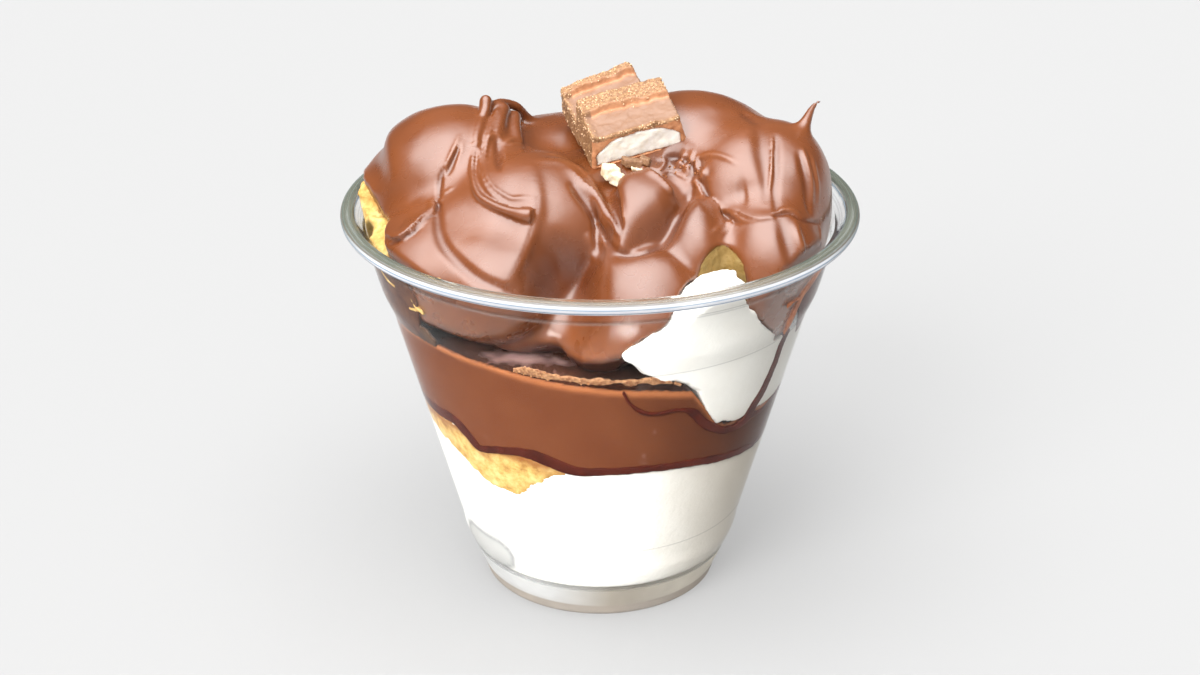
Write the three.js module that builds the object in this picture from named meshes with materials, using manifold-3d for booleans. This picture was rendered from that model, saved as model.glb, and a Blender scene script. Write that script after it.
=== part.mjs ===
// A layered profiterole dessert in its clear cup, in millimetres, +Z up.
// The origin is the centre of the foot ring, on the surface that the cup stands on. The front is -Y.
// From the bottom: white cream, a choux bun pressed to the wall, hazelnut cream, a spill of whipped cream,
// and a heap of choux buns under poured chocolate, with two segments of filled chocolate bar on top.
import * as THREE from "three";
import { mergeVertices } from "three/addons/utils/BufferGeometryUtils.js";
import Module from "manifold-3d";

const wasm = await Module();
wasm.setup();

// Driving dimensions
const cupHeight = 75.4;
const rimRadius = 47.5;
const footRadius = 22.3;
const wallThickness = 0.7;
const footRingWidth = 1.1; // flat ring that the cup stands on
const footRingHeight = 1;
const floorTop = 7.6;
const rimBead = 1.6; // radius of the rolled lip
const lipThickness = 0.6;
const gap = 0.3; // clearance between pieces that touch
const sides = 48; // round the cup and its layers, whose corners line up

// The outer wall, height then radius: foot, stacking ledge, long wall, step under the lid's seat, upper wall
const wallOutline = [
  [0, footRadius],
  [1.5, 22.6],
  [3.5, 23.4],
  [8.5, 25.6],
  [11, 26.6],
  [13.5, 27.0],
  [16, 27.7],
  [57, 38.9],
  [61, 40.7],
  [73, 43.9],
  [cupHeight, 44.8],
];

// Heights of the layers where they meet the wall, by angle in degrees: -90 is the front, 0 is +X
const hazelnutTop = [
  [-180, 58], [-160, 57.6], [-142, 58.3], [-120, 57.5], [-105, 56], [-90, 54.8], [-75, 53.6], [-64, 52.2],
  [-59, 48], [-53, 43], [-47, 41.2], [-40, 41.6], [-20, 42.5], [0, 44], [30, 48], [60, 52], [90, 55], [130, 57.5],
];
const hazelnutBottom = [
  [-180, 39], [-150, 39.5], [-140, 40], [-135, 38], [-130, 36.9], [-122, 38], [-115, 38.4], [-104, 36.6],
  [-97, 35.6], [-70, 35.7], [-57, 34.9], [-45, 33.8], [-31, 32.4], [-15, 32], [0, 33], [45, 35], [90, 37], [135, 38],
];
const hazelnutTopMiddle = 56;
const hazelnutBottomMiddle = 38;

// The heap: rounded masses of poured chocolate over buns, and how softly each blends into the ones before it
const mound = [
  { at: [-26.5, 4, 76], radii: [17, 17, 15.2], blend: 0 }, // left dome
  { at: [-13, -9, 70.5], radii: [19, 17.5, 16.5], blend: 3 }, // middle dome
  { at: [-5, 14, 74], radii: [22, 17, 12], blend: 3.5 }, // back dome
  { at: [6, -3, 74], radii: [15, 14, 12.5], blend: 3 }, // seat of the bar
  { at: [8.2, -23, 67.6], radii: [12.5, 14.5, 13], blend: 2.5 }, // low front dome
  { at: [10, -16, 75], radii: [9.5, 9, 10.5], blend: 2 }, // tongue under the bar
  { at: [17, 6, 78], radii: [18, 16, 15.3], blend: 3 }, // high right dome
  { at: [26.6, -3, 73], radii: [15.4, 18, 22], blend: 3 }, // right flank
  { at: [29.5, -18, 67.5], radii: [11, 13, 14.5], blend: 3.5 }, // right front flank
  { at: [-26.5, -14, 69], radii: [16, 18, 11], blend: 3.5 }, // left front flank
  { at: [-12, -22, 69.2], radii: [16, 15.5, 11.5], blend: 3.5 }, // middle front flank
  { at: [-21, 22, 68], radii: [20, 19, 11.5], blend: 4 }, // left back flank
  { at: [3, 27, 67.5], radii: [20, 18, 12], blend: 4 }, // low back dome
  { at: [24, 17, 69], radii: [18, 20, 14], blend: 4 }, // right back flank
  { at: [0, 0, 60], radii: [32, 32, 12], blend: 2 }, // foot of the heap
];
const heapMiddle = [0, -3, 66];
const notch = { at: [20.4, -31, 73], radii: [3.8, 12, 9] }; // bare cleft above the whipped cream
const frontHollow = { at: [-13, -40, 63.5], radii: [8, 7, 4.5] };

// Where the chocolate stops short of the wall on the left: angle, then radius
const bareEdge = [
  [-215, 44.5], [-195, 44.2], [-181, 42.2], [-172, 40.4], [-165, 39.8], [-158, 39.8], [-153, 42], [-149, 44.2],
  [-140, 46], [-100, 60],
];

const spillMasses = [
  { at: [22, -33, 57], radii: [13, 11, 16], blend: 0 },
  { at: [10, -38, 60], radii: [6.5, 5, 4.5], blend: 4 },
  { at: [20.5, -33, 68.5], radii: [4.5, 5, 5], blend: 3 },
];
const spillSide = { at: [32, -17, 47], radii: [13, 20, 10] }; // runs on round the right of the cup
const leftBunMasses = [
  { at: [-29, 2, 74], radii: [17.2, 15.5, 13], blend: 0 },
  { at: [-33.5, -12, 68.5], radii: [10, 13, 7.5], blend: 3 },
];
const rightBun = { at: [20.5, -20.5, 67.4], radii: [9.5, 11, 10.5] };
const lowerBun = { at: [-13.5, -19, 34.5], radii: [15, 14, 7.5] };
const airPocket = { at: [-20.6, -16.8, 8.6], radii: [7.5, 3.6, 4.4], turn: -51 };

// Ridges of chocolate that folded as it was poured: points on the heap, with a half width and a half height
const ridges = [
  {
    half: [1.25, 1.5],
    steps: 18,
    path: [
      [-20.7, 6, 91.2], [-21.6, 1.5, 90.6], [-21.9, -4, 88.7], [-22.4, -8.7, 86.1], [-22.3, -13, 84.2],
      [-21.3, -17, 82.9], [-18.5, -20.2, 81.9], [-15, -22, 81.3], [-11.8, -22.7, 81.1],
    ],
  },
  {
    half: [1.2, 1.3],
    steps: 16,
    path: [
      [-13, 13, 85.6], [-15, 10.5, 89], [-17.3, 7, 90.8], [-19.2, 2, 90], [-20.2, -4, 88.1], [-20.4, -11, 85.6],
      [-18.2, -18, 83.6], [-13, -20.4, 82.8],
    ],
  },
  {
    half: [1, 1],
    steps: 8,
    path: [[-16.8, 6, 90.4], [-17.6, 0, 88.8], [-18.3, -5, 87.2], [-18.2, -11.5, 85.9]],
  },
];
const ridgeTip = { at: [-20.7, 6.2, 91.6], radii: [1.5, 1.6, 1.9] };

// The curled tip where the chocolate was drawn up on the right: points, then radii along it
const curlPath = [[34.6, -3, 87], [36, -1.8, 89], [37, -0.8, 90.6], [38, 0, 92.4], [39.4, 0.2, 94]];
const curlRadii = [3, 1.7, 1.05, 0.75, 0.35];

// Crumbs and flakes that broke off the bar: place, size, turn in degrees
const crumbs = [
  { at: [2.3, -11.8, 84], size: [1.7, 1.5, 1.9], turn: 20 },
  { at: [5.6, -10.6, 84.6], size: [1.6, 1, 0.9], turn: 50 },
  { at: [9.4, -9.6, 85.3], size: [1.5, 1, 1], turn: -30 },
  { at: [16.9, -10.8, 86.6], size: [2.1, 1.3, 1.1], turn: 35 },
  { at: [19.2, -13, 85.6], size: [1.5, 1.1, 1.3], turn: -20 },
  { at: [17, -15.4, 84.2], size: [1.2, 1.7, 1], turn: 60 },
];

// The two bar segments: centre, half sizes, then the directions of width and of depth
const frontBar = { at: [5.2, -3.2, 91.2], half: [9, 5.6, 4.1], wide: [17.2, 4, 3.6], deep: [-3.65, 12, 4.1] };
const rearBar = { at: [0.3, 6.1, 91.6], half: [6.8, 5.2, 3.4], wide: [11.2, 2.5, 3.8], deep: [-1.5, 9, 3.4] };
const barTaper = 1.1; // how far the sides lean in
const ridgeWidth = 1.7; // raised edge round the top
const backRidgeExtra = 0.8; // more of it along the back
const recessDepth = 0.9;
const chocolateShell = 2;
const chocolateUnder = 0.9; // below the filling

// Distance helpers: negative inside a shape, positive outside
function softMin(a, b, k) {
  if (k <= 0) return Math.min(a, b);
  const h = THREE.MathUtils.clamp(0.5 + (0.5 * (b - a)) / k, 0, 1);
  return b * (1 - h) + a * h - k * h * (1 - h);
}
const softMax = (a, b, k) => -softMin(-a, -b, k);

function toEllipsoid(p, { at, radii, turn = 0 }) {
  const c = Math.cos(THREE.MathUtils.degToRad(turn));
  const s = Math.sin(THREE.MathUtils.degToRad(turn));
  const dx = p.x - at[0];
  const dy = p.y - at[1];
  const q = [c * dx + s * dy, c * dy - s * dx, p.z - at[2]];
  const near = Math.hypot(...q.map((v, i) => v / radii[i]));
  const slope = Math.hypot(...q.map((v, i) => v / radii[i] ** 2));
  return (near * (near - 1)) / Math.max(slope, 1e-9);
}

const toMasses = (p, masses) =>
  masses.reduce((d, m) => (d === null ? toEllipsoid(p, m) : softMin(d, toEllipsoid(p, m), m.blend)), null);

// Straight interpolation in a list of pairs, held at both ends
function between(pairs, v) {
  if (v <= pairs[0][0]) return pairs[0][1];
  for (let i = 1; i < pairs.length; i++) {
    const [v0, w0] = pairs[i - 1];
    const [v1, w1] = pairs[i];
    if (v <= v1) return w0 + ((w1 - w0) * (v - v0)) / (v1 - v0);
  }
  return pairs[pairs.length - 1][1];
}

// The same round the cup, where the list starts at -180 degrees and closes on itself
const roundCup = (pairs, angle) => between([...pairs, [180, pairs[0][1]]], angle);
const angleOf = (x, y) => THREE.MathUtils.radToDeg(Math.atan2(y, x));

// Radius of the inner wall, which above the rim opens out so that the heap can bulge
function innerRadius(z) {
  const aboveRim = Math.max(0, z - cupHeight) * 0.6;
  return between(wallOutline, z) - wallThickness + aboveRim;
}

// Solids
function weld(geometry) {
  const bare = new THREE.BufferGeometry().setAttribute("position", geometry.getAttribute("position"));
  if (geometry.index) bare.setIndex(geometry.index);
  return mergeVertices(bare, 1e-4);
}

function solidOf(geometry) {
  const welded = weld(geometry);
  const index = welded.index.array;
  const corners = [];
  for (let i = 0; i < index.length; i += 3) {
    const [a, b, c] = index.subarray(i, i + 3);
    if (a !== b && b !== c && c !== a) corners.push(a, b, c);
  }
  return new wasm.Manifold(
    new wasm.Mesh({
      numProp: 3,
      vertProperties: welded.getAttribute("position").array,
      triVerts: Uint32Array.from(corners),
    }),
  );
}

// The one closed body of a solid, with any bubble or loose scrap from the joins left out
function wholeOf(solid) {
  const bodies = solid.decompose();
  return bodies.reduce((largest, body) => (body.volume() > largest.volume() ? body : largest));
}

function geometryOf(solid) {
  const mesh = wholeOf(solid).getMesh();
  const geometry = new THREE.BufferGeometry();
  geometry.setAttribute("position", new THREE.BufferAttribute(mesh.vertProperties, 3));
  geometry.setIndex(new THREE.BufferAttribute(mesh.triVerts, 1));
  geometry.computeVertexNormals();
  return geometry;
}

// A ball pushed out from a middle point until it meets the surface of a distance field
function inflate(field, middle, detail) {
  const ball = weld(new THREE.IcosahedronGeometry(1, detail));
  const spots = ball.getAttribute("position");
  const start = new THREE.Vector3(...middle);
  const way = new THREE.Vector3();
  const spot = new THREE.Vector3();
  const reachTo = (r) => field(spot.copy(way).multiplyScalar(r).add(start));
  for (let i = 0; i < spots.count; i++) {
    way.fromBufferAttribute(spots, i).normalize();
    let inside = 0;
    let outside = 0.5;
    for (let d = reachTo(outside); d < 0; d = reachTo(outside)) {
      inside = outside;
      outside += Math.max(-0.6 * d, 0.05);
    }
    for (let n = 0; n < 20; n++) {
      const half = (inside + outside) / 2;
      if (reachTo(half) < 0) inside = half;
      else outside = half;
    }
    reachTo(inside);
    spots.setXYZ(i, spot.x, spot.y, spot.z);
  }
  return solidOf(ball);
}

// A filling of the cup between two surfaces, each given by its height at an angle and a share of the radius.
// Its side has a row of corners at each of the wall's own bends that it covers.
function layer(bottom, top, clearance, bends) {
  const rings = [0, 0.35, 0.7, 1];
  const rows = bends.map((_, i) => (i + 1) / (bends.length + 1));
  const outline = [
    ...rings.map((r) => new THREE.Vector2(r, 0)),
    ...rows.map((h) => new THREE.Vector2(1, h)),
    ...rings.map((r) => new THREE.Vector2(r, 1)).reverse(),
  ];
  const geometry = new THREE.LatheGeometry(outline, sides).rotateX(Math.PI / 2);
  const spots = geometry.getAttribute("position");
  for (let i = 0; i < spots.count; i++) {
    const share = Math.hypot(spots.getX(i), spots.getY(i));
    const angle = angleOf(spots.getX(i), spots.getY(i));
    const height = spots.getZ(i);
    const bend = Math.round(height * (bends.length + 1));
    const onWall = bend === 0 ? bottom(angle, 1) : bend > bends.length ? top(angle, 1) : bends[bend - 1];
    const z = bend === 0 ? bottom(angle, share) : bend > bends.length ? top(angle, share) : onWall;
    const r = share * (innerRadius(onWall) - clearance);
    const radians = THREE.MathUtils.degToRad(angle);
    spots.setXYZ(i, r * Math.cos(radians), r * Math.sin(radians), z);
  }
  return solidOf(geometry);
}

// A surface that is level in the middle and bends to its height at the wall
const surface = (atWall, middle, lift) => (angle, share) =>
  middle + (roundCup(atWall, angle) - middle) * share ** 2 + lift;

function tube(path, [halfWidth, halfHeight], steps) {
  const section = new THREE.Shape(
    new THREE.EllipseCurve(0, 0, halfWidth, halfHeight, 0, 2 * Math.PI).getPoints(8).slice(0, 8),
  );
  const curve = new THREE.CatmullRomCurve3(path.map((p) => new THREE.Vector3(...p)));
  return solidOf(new THREE.ExtrudeGeometry(section, { steps, extrudePath: curve, bevelEnabled: false }));
}

// A round horn along a curve, its radius given at even steps
function horn(path, radii) {
  const curve = new THREE.CatmullRomCurve3(path.map((p) => new THREE.Vector3(...p)));
  const rows = 8;
  const geometry = new THREE.CylinderGeometry(1, 1, 1, 8, rows).rotateX(Math.PI / 2);
  const frames = curve.computeFrenetFrames(rows);
  const spots = geometry.getAttribute("position");
  for (let i = 0; i < spots.count; i++) {
    const row = Math.round((spots.getZ(i) + 0.5) * rows);
    const radius = between(radii.map((r, n) => [n / (radii.length - 1), r]), row / rows);
    const spot = curve.getPointAt(row / rows);
    spot.addScaledVector(frames.normals[row], radius * spots.getX(i));
    spot.addScaledVector(frames.binormals[row], radius * spots.getY(i));
    spots.setXYZ(i, spot.x, spot.y, spot.z);
  }
  return solidOf(geometry);
}

function ellipsoidSolid({ at, radii, turn = 0 }, detail) {
  const ball = new THREE.IcosahedronGeometry(1, detail).scale(...radii);
  return solidOf(ball.rotateZ(THREE.MathUtils.degToRad(turn)).translate(...at));
}

// The cup: a closed outline turned about Z, with a recess under its raised floor and a lip rolled outwards
function cup() {
  const lipCentre = [rimRadius - rimBead, cupHeight - rimBead];
  const lipArc = (radius, from, to) => {
    const arc = new THREE.EllipseCurve(...lipCentre, radius, radius, from, to, to < from);
    return arc.getPoints(6);
  };
  const wallBelowLip = wallOutline.filter(([z]) => z > 0 && z < cupHeight);
  const outline = [
    new THREE.Vector2(0, floorTop - wallThickness),
    new THREE.Vector2(footRadius - footRingWidth, floorTop - wallThickness),
    new THREE.Vector2(footRadius - wallThickness, footRingHeight),
    new THREE.Vector2(footRadius - footRingWidth, 0),
    new THREE.Vector2(footRadius, 0),
    ...wallBelowLip.map(([z, r]) => new THREE.Vector2(r, z)),
    ...lipArc(rimBead - lipThickness, Math.PI, -Math.PI / 3),
    ...lipArc(rimBead, -Math.PI / 3, Math.PI),
    ...wallBelowLip
      .filter(([z]) => z > floorTop)
      .map(([z, r]) => new THREE.Vector2(r - wallThickness, z))
      .reverse(),
    new THREE.Vector2(innerRadius(floorTop), floorTop),
    new THREE.Vector2(0, floorTop),
  ];
  return solidOf(new THREE.LatheGeometry(outline, sides).rotateX(Math.PI / 2));
}

const inWall = (p, d, softness) => softMax(d, Math.hypot(p.x, p.y) - innerRadius(p.z) + gap, softness);

// Above zero outside the strip at the left wall that the chocolate leaves bare
function clearOfBareStrip(p) {
  const angle = angleOf(p.x, p.y);
  const turned = angle > 100 ? angle - 360 : angle;
  if (turned < bareEdge[0][0] || turned > bareEdge[bareEdge.length - 1][0]) return 40;
  const lean = 0.35 * THREE.MathUtils.clamp(p.z - 76, -2, 20);
  return between(bareEdge, turned) + lean - Math.hypot(p.x, p.y);
}

function chocolateField(p) {
  let d = toMasses(p, mound);
  d = softMax(d, -clearOfBareStrip(p), 0.4);
  return inWall(p, d, 1);
}

function leftBunField(p) {
  const under = THREE.MathUtils.clamp(0.4 + 0.8 * clearOfBareStrip(p), -1.6, 1.5);
  const d = softMax(toMasses(p, leftBunMasses), toMasses(p, mound) + under, 0.5);
  return inWall(p, d, 0.5);
}

const rightBunField = (p) => inWall(p, softMax(toEllipsoid(p, rightBun), toMasses(p, mound) + 0.3, 0.5), 0.5);
const spillField = (p) => inWall(p, toMasses(p, spillMasses), 0.5);
const spillSideField = (p) => inWall(p, toEllipsoid(p, spillSide), 0.5);
const lowerBunField = (p) => inWall(p, toEllipsoid(p, lowerBun), 0.3);
const grown = (field, by) => (p) => field(p) - by;

// A frame for a bar segment: width, depth and height as axes
function barFrame({ at, wide, deep }) {
  const u = new THREE.Vector3(...wide).normalize();
  const w = new THREE.Vector3().crossVectors(u, new THREE.Vector3(...deep)).normalize();
  const v = new THREE.Vector3().crossVectors(w, u);
  return new THREE.Matrix4().makeBasis(u, v, w).setPosition(...at);
}

// A length along a bar's depth of a section drawn across its width and height
function alongBar(section, from, to) {
  const block = new THREE.ExtrudeGeometry(section, { depth: to - from, bevelEnabled: false });
  return block.rotateX(Math.PI / 2).translate(0, to, 0);
}

function barSection([halfWidth, , halfHeight], grow) {
  const bottom = halfWidth + grow;
  const top = halfWidth - barTaper + grow;
  const high = halfHeight + grow;
  const corner = 0.8;
  return new THREE.Shape([
    new THREE.Vector2(-bottom, -high),
    new THREE.Vector2(bottom, -high),
    new THREE.Vector2(top, high - corner),
    new THREE.Vector2(top - corner, high),
    new THREE.Vector2(-top + corner, high),
    new THREE.Vector2(-top, high - corner),
  ]);
}

function barBlock({ half }, grow) {
  return alongBar(barSection(half, grow), -half[1] - grow, half[1] + grow);
}

// The sunk top between the raised edges, open at the broken front where asked
function barRecess({ half: [halfWidth, halfDepth, halfHeight] }, openFront) {
  const wide = halfWidth - barTaper - ridgeWidth;
  const section = new THREE.Shape([
    new THREE.Vector2(-wide + recessDepth, halfHeight - recessDepth),
    new THREE.Vector2(wide - recessDepth, halfHeight - recessDepth),
    new THREE.Vector2(wide, halfHeight + 1),
    new THREE.Vector2(-wide, halfHeight + 1),
  ]);
  const front = openFront ? -halfDepth - 1 : -halfDepth + ridgeWidth;
  return alongBar(section, front, halfDepth - ridgeWidth - backRidgeExtra);
}

// The white filling: an arched section, from the broken front to the shell at the back
function fillingBlock({ half: [halfWidth, halfDepth, halfHeight] }, grow, overrun) {
  const wide = halfWidth - chocolateShell + grow;
  const low = -halfHeight + chocolateUnder - grow;
  const high = halfHeight - chocolateShell + grow;
  const section = new THREE.Shape();
  section.moveTo(-wide, low);
  section.lineTo(wide, low);
  section.lineTo(wide - 0.4, low + 2);
  section.bezierCurveTo(wide - 1.5, high - 0.4, wide - 4, high, 0, high);
  section.bezierCurveTo(-wide + 4, high, -wide + 1.5, high - 0.4, -wide + 0.4, low + 2);
  const points = section.extractPoints(4).shape;
  return alongBar(new THREE.Shape(points), -halfDepth - overrun, halfDepth - chocolateShell + grow);
}

const place = (geometry, bar) => solidOf(geometry.applyMatrix4(barFrame(bar)));

// Cutting the pieces to each other
const layerBottom = () => floorTop + gap;
const underHazelnut = surface(hazelnutBottom, hazelnutBottomMiddle, -gap / 2);
const overHazelnut = surface(hazelnutBottom, hazelnutBottomMiddle, gap / 2);
const hazelnutSurface = surface(hazelnutTop, hazelnutTopMiddle, 0);
const aboveHazelnut = surface(hazelnutTop, hazelnutTopMiddle, gap);
const roomBelowHeap = layer(() => floorTop, aboveHazelnut, -2, []);
const roomBelowHazelnut = layer(() => floorTop, underHazelnut, -2, []);

const frontBarRoom = place(barBlock(frontBar, gap), frontBar);
const rearBarRoom = place(barBlock(rearBar, gap), rearBar);

const spillMiddle = [21, -31, 58];
const spillSideMiddle = [27, -15, 48];
const leftBunMiddle = [-30, 0, 72];
const rightBunMiddle = rightBun.at;
const lowerBunMiddle = lowerBun.at;

const spill = (by) =>
  inflate(grown(spillField, by), spillMiddle, 5).add(inflate(grown(spillSideField, by), spillSideMiddle, 4));

const whipped = spill(0).subtract(roomBelowHeap);
const leftBun = inflate(leftBunField, leftBunMiddle, 4).subtract(roomBelowHeap);
const rightBunSolid = inflate(rightBunField, rightBunMiddle, 3)
  .subtract(spill(gap))
  .subtract(roomBelowHeap);
const lowerBunSolid = inflate(lowerBunField, lowerBunMiddle, 3).intersect(roomBelowHazelnut);

const creamLower = layer(layerBottom, underHazelnut, gap, [8.5, 11, 13.5, 16])
  .subtract(inflate(grown((p) => toEllipsoid(p, lowerBun), gap), lowerBunMiddle, 3))
  .subtract(ellipsoidSolid(airPocket, 1));
const hazelnut = layer(overHazelnut, hazelnutSurface, gap, [41]);

let chocolate = inflate(chocolateField, heapMiddle, 10);
for (const { path, half, steps } of ridges) chocolate = chocolate.add(tube(path, half, steps));
chocolate = chocolate.add(ellipsoidSolid(ridgeTip, 1)).add(horn(curlPath, curlRadii));
for (const { at, size, turn } of crumbs) chocolate = chocolate.add(ellipsoidSolid({ at, radii: size, turn }, 0));
chocolate = chocolate
  .subtract(roomBelowHeap)
  .subtract(ellipsoidSolid(notch, 3))
  .subtract(ellipsoidSolid(frontHollow, 2))
  .subtract(spill(gap))
  .subtract(inflate(grown(leftBunField, gap), leftBunMiddle, 4))
  .subtract(inflate(grown(rightBunField, gap), rightBunMiddle, 3))
  .subtract(frontBarRoom)
  .subtract(rearBarRoom);

const frontShell = place(barBlock(frontBar, 0), frontBar)
  .subtract(place(barRecess(frontBar, true), frontBar))
  .subtract(place(fillingBlock(frontBar, gap, 1), frontBar));
const filling = place(fillingBlock(frontBar, 0, 0), frontBar);
const rearShell = place(barBlock(rearBar, 0), rearBar)
  .subtract(place(barRecess(rearBar, false), rearBar))
  .subtract(frontBarRoom);

// Finishes
const clear = new THREE.MeshStandardMaterial({ color: 0xe8eef0, roughness: 0.05, transparent: true, opacity: 0.35 });
const whiteCream = new THREE.MeshStandardMaterial({ color: 0xf6f1e8, roughness: 0.55 });
const hazelnutCream = new THREE.MeshStandardMaterial({ color: 0x8a5a45, roughness: 0.5 });
const pouredChocolate = new THREE.MeshStandardMaterial({ color: 0x96583c, roughness: 0.3 });
const bakedChoux = new THREE.MeshStandardMaterial({ color: 0xdcb565, roughness: 0.8 });
const barChocolate = new THREE.MeshStandardMaterial({ color: 0xd6a588, roughness: 0.5 });

const dessert = new THREE.Group();
const pieces = [
  ["cup", cup(), clear],
  ["cream_lower", creamLower, whiteCream],
  ["choux_lower", lowerBunSolid, bakedChoux],
  ["hazelnut_cream", hazelnut, hazelnutCream],
  ["whipped_cream", whipped, whiteCream],
  ["choux_left", leftBun, bakedChoux],
  ["choux_right", rightBunSolid, bakedChoux],
  ["chocolate_coat", chocolate, pouredChocolate],
  ["bar_front", frontShell, barChocolate],
  ["bar_filling", filling, whiteCream],
  ["bar_rear", rearShell, barChocolate],
];
for (const [name, solid, material] of pieces) {
  const mesh = new THREE.Mesh(geometryOf(solid), material);
  mesh.name = name;
  dessert.add(mesh);
}

export default dessert;
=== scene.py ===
import math

import bmesh
import bpy
import numpy as np
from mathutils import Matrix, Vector


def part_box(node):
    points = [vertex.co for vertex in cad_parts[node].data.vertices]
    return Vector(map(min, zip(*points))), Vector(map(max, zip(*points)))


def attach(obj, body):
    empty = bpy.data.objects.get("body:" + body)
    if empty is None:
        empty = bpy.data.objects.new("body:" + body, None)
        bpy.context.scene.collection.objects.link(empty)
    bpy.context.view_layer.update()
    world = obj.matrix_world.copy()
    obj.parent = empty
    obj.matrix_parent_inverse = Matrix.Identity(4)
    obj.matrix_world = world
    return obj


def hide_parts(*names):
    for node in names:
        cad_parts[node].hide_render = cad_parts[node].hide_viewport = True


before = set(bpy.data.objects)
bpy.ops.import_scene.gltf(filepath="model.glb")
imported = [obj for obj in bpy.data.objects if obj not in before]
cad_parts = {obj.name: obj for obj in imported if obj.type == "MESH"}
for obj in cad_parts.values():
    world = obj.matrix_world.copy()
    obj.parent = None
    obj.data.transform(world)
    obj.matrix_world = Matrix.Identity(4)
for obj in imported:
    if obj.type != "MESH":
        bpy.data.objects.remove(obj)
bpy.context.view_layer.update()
mm = 0.001
print("frame loaded")


# Shapes are distance fields in millimetres: below zero inside, above zero outside. Points are rows of x, y
# and z

def softMin(a, b, k):
    if k <= 0:
        return np.minimum(a, b)
    h = np.clip(0.5 + 0.5 * (b - a) / k, 0, 1)
    return b * (1 - h) + a * h - k * h * (1 - h)


def softMax(a, b, k):
    return -softMin(-a, -b, k)


def toEllipsoid(p, at, radii, turn=0):
    q = p - np.array(at, float)
    if turn:
        c, s = math.cos(math.radians(turn)), math.sin(math.radians(turn))
        q = np.stack([c * q[:, 0] + s * q[:, 1], c * q[:, 1] - s * q[:, 0], q[:, 2]], 1)
    r = np.array(radii, float)
    near = np.linalg.norm(q / r, axis=1)
    return near * (near - 1) / (np.linalg.norm(q / r ** 2, axis=1) + 1e-9)


def toMasses(p, masses):
    d = None
    for at, radii, blend in masses:
        e = toEllipsoid(p, at, radii)
        d = e if d is None else softMin(d, e, blend)
    return d


def smoothPath(points, count):
    # a curve through the points, as rows; extra columns such as a width go with them
    pts = np.array(points, float)
    ends = np.vstack([2 * pts[0] - pts[1], pts, 2 * pts[-1] - pts[-2]])
    rows = []
    for t in np.linspace(0, len(pts) - 1.0001, count):
        i, f = int(t), t - int(t)
        a, b, c, d = ends[i:i + 4]
        rows.append(0.5 * (2 * b + (c - a) * f + (2 * a - 5 * b + 4 * c - d) * f ** 2
                           + (3 * b - a - 3 * c + d) * f ** 3))
    return np.array(rows)


def nearPath(p, path, beyond):
    # the points near a line of points: which they are, how far away, and the line's other columns there
    low, high = path[:, :3].min(0) - beyond, path[:, :3].max(0) + beyond
    near = np.nonzero(((p > low) & (p < high)).all(1))[0]
    q = p[near]
    best = np.full(len(q), 1e3)
    extra = np.tile(path[0, 3:], (len(q), 1))
    for a, b in zip(path[:-1], path[1:]):
        ab = b[:3] - a[:3]
        t = np.clip((q - a[:3]) @ ab / max(ab @ ab, 1e-9), 0, 1)
        d = np.linalg.norm(q - a[:3] - t[:, None] * ab, axis=1)
        closer = d < best
        best[closer] = d[closer]
        extra[closer] = (a[3:] + (b[3:] - a[3:]) * t[:, None])[closer]
    return near, best, extra


def addCord(d, p, path, blend):
    # joins a cord along the path, whose last column is its radius
    near, away, radius = nearPath(p, path, 6.0)
    d[near] = softMin(d[near], away - radius[:, 0], blend)
    return d


def grain(p, size, seed=0, octaves=3):
    # smooth noise from -1 to 1 with lumps of about that size
    table = np.random.default_rng(seed).random((32, 32, 32)) * 2 - 1
    total, share, scale = np.zeros(len(p)), 1.0, 1.0 / size
    for octave in range(octaves):
        q = p * scale + 17.3 * octave + 100
        i = np.floor(q).astype(int)
        f = q - i
        f = f * f * (3 - 2 * f)
        value = np.zeros(len(p))
        for corner in range(8):
            o = np.array([corner & 1, corner >> 1 & 1, corner >> 2])
            j = (i + o) % 32
            value += table[j[:, 0], j[:, 1], j[:, 2]] * np.prod(np.where(o, f, 1 - f), axis=1)
        total += share * value
        share, scale = share * 0.5, scale * 2
    return total


def gridLine(low, high, step, focus, coarse):
    # places along one axis, close together in the focus and wider away from it
    places = [low]
    while places[-1] < high or (len(places) - 1) % coarse:
        outside = max(focus[0] - places[-1], places[-1] - focus[1], 0) if focus else 0
        places.append(places[-1] + step * (1 + min(0.12 * outside, 1.6)))
    return np.array(places)


def spreadOut(cells, coarse):
    # every coarse cell's value, given to all the fine cells in it
    for axis in range(3):
        cells = np.repeat(cells, coarse, axis)
    return cells


def sampleField(field, axes, coarse):
    # values on a grid, worked out only near the surface
    cells = [(len(a) - 1) // coarse for a in axes]
    counts = [len(a) for a in axes]
    grid = np.stack(np.meshgrid(*[a[::coarse] for a in axes], indexing="ij"), -1)
    rough = field(grid.reshape(-1, 3)).reshape([c + 1 for c in cells])
    sizes = np.meshgrid(*[np.diff(a[::coarse]) for a in axes], indexing="ij")
    reach = 1.2 * np.sqrt(sum(size ** 2 for size in sizes))
    busy = np.zeros(cells, bool)
    for corner in range(8):
        o = [corner & 1, corner >> 1 & 1, corner >> 2]
        busy |= np.abs(rough[tuple(slice(o[i], o[i] + cells[i]) for i in range(3))]) < reach
    far = np.where(rough[:-1, :-1, :-1] < 0, -9.0, 9.0)
    values = np.pad(spreadOut(far, coarse), ((0, 1),) * 3, mode="edge")
    fine = spreadOut(busy, coarse)
    wanted = np.zeros(counts, bool)
    for corner in range(8):
        o = [corner & 1, corner >> 1 & 1, corner >> 2]
        wanted[tuple(slice(o[i], o[i] + counts[i] - 1) for i in range(3))] |= fine
    index = np.argwhere(wanted)
    values[wanted] = field(np.stack([axes[i][index[:, i]] for i in range(3)], 1))
    for axis in range(3):  # closed at the grid's own edge
        for end in (0, -1):
            face = [slice(None)] * 3
            face[axis] = end
            values[tuple(face)] = np.maximum(values[tuple(face)], 0.01)
    return values


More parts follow.
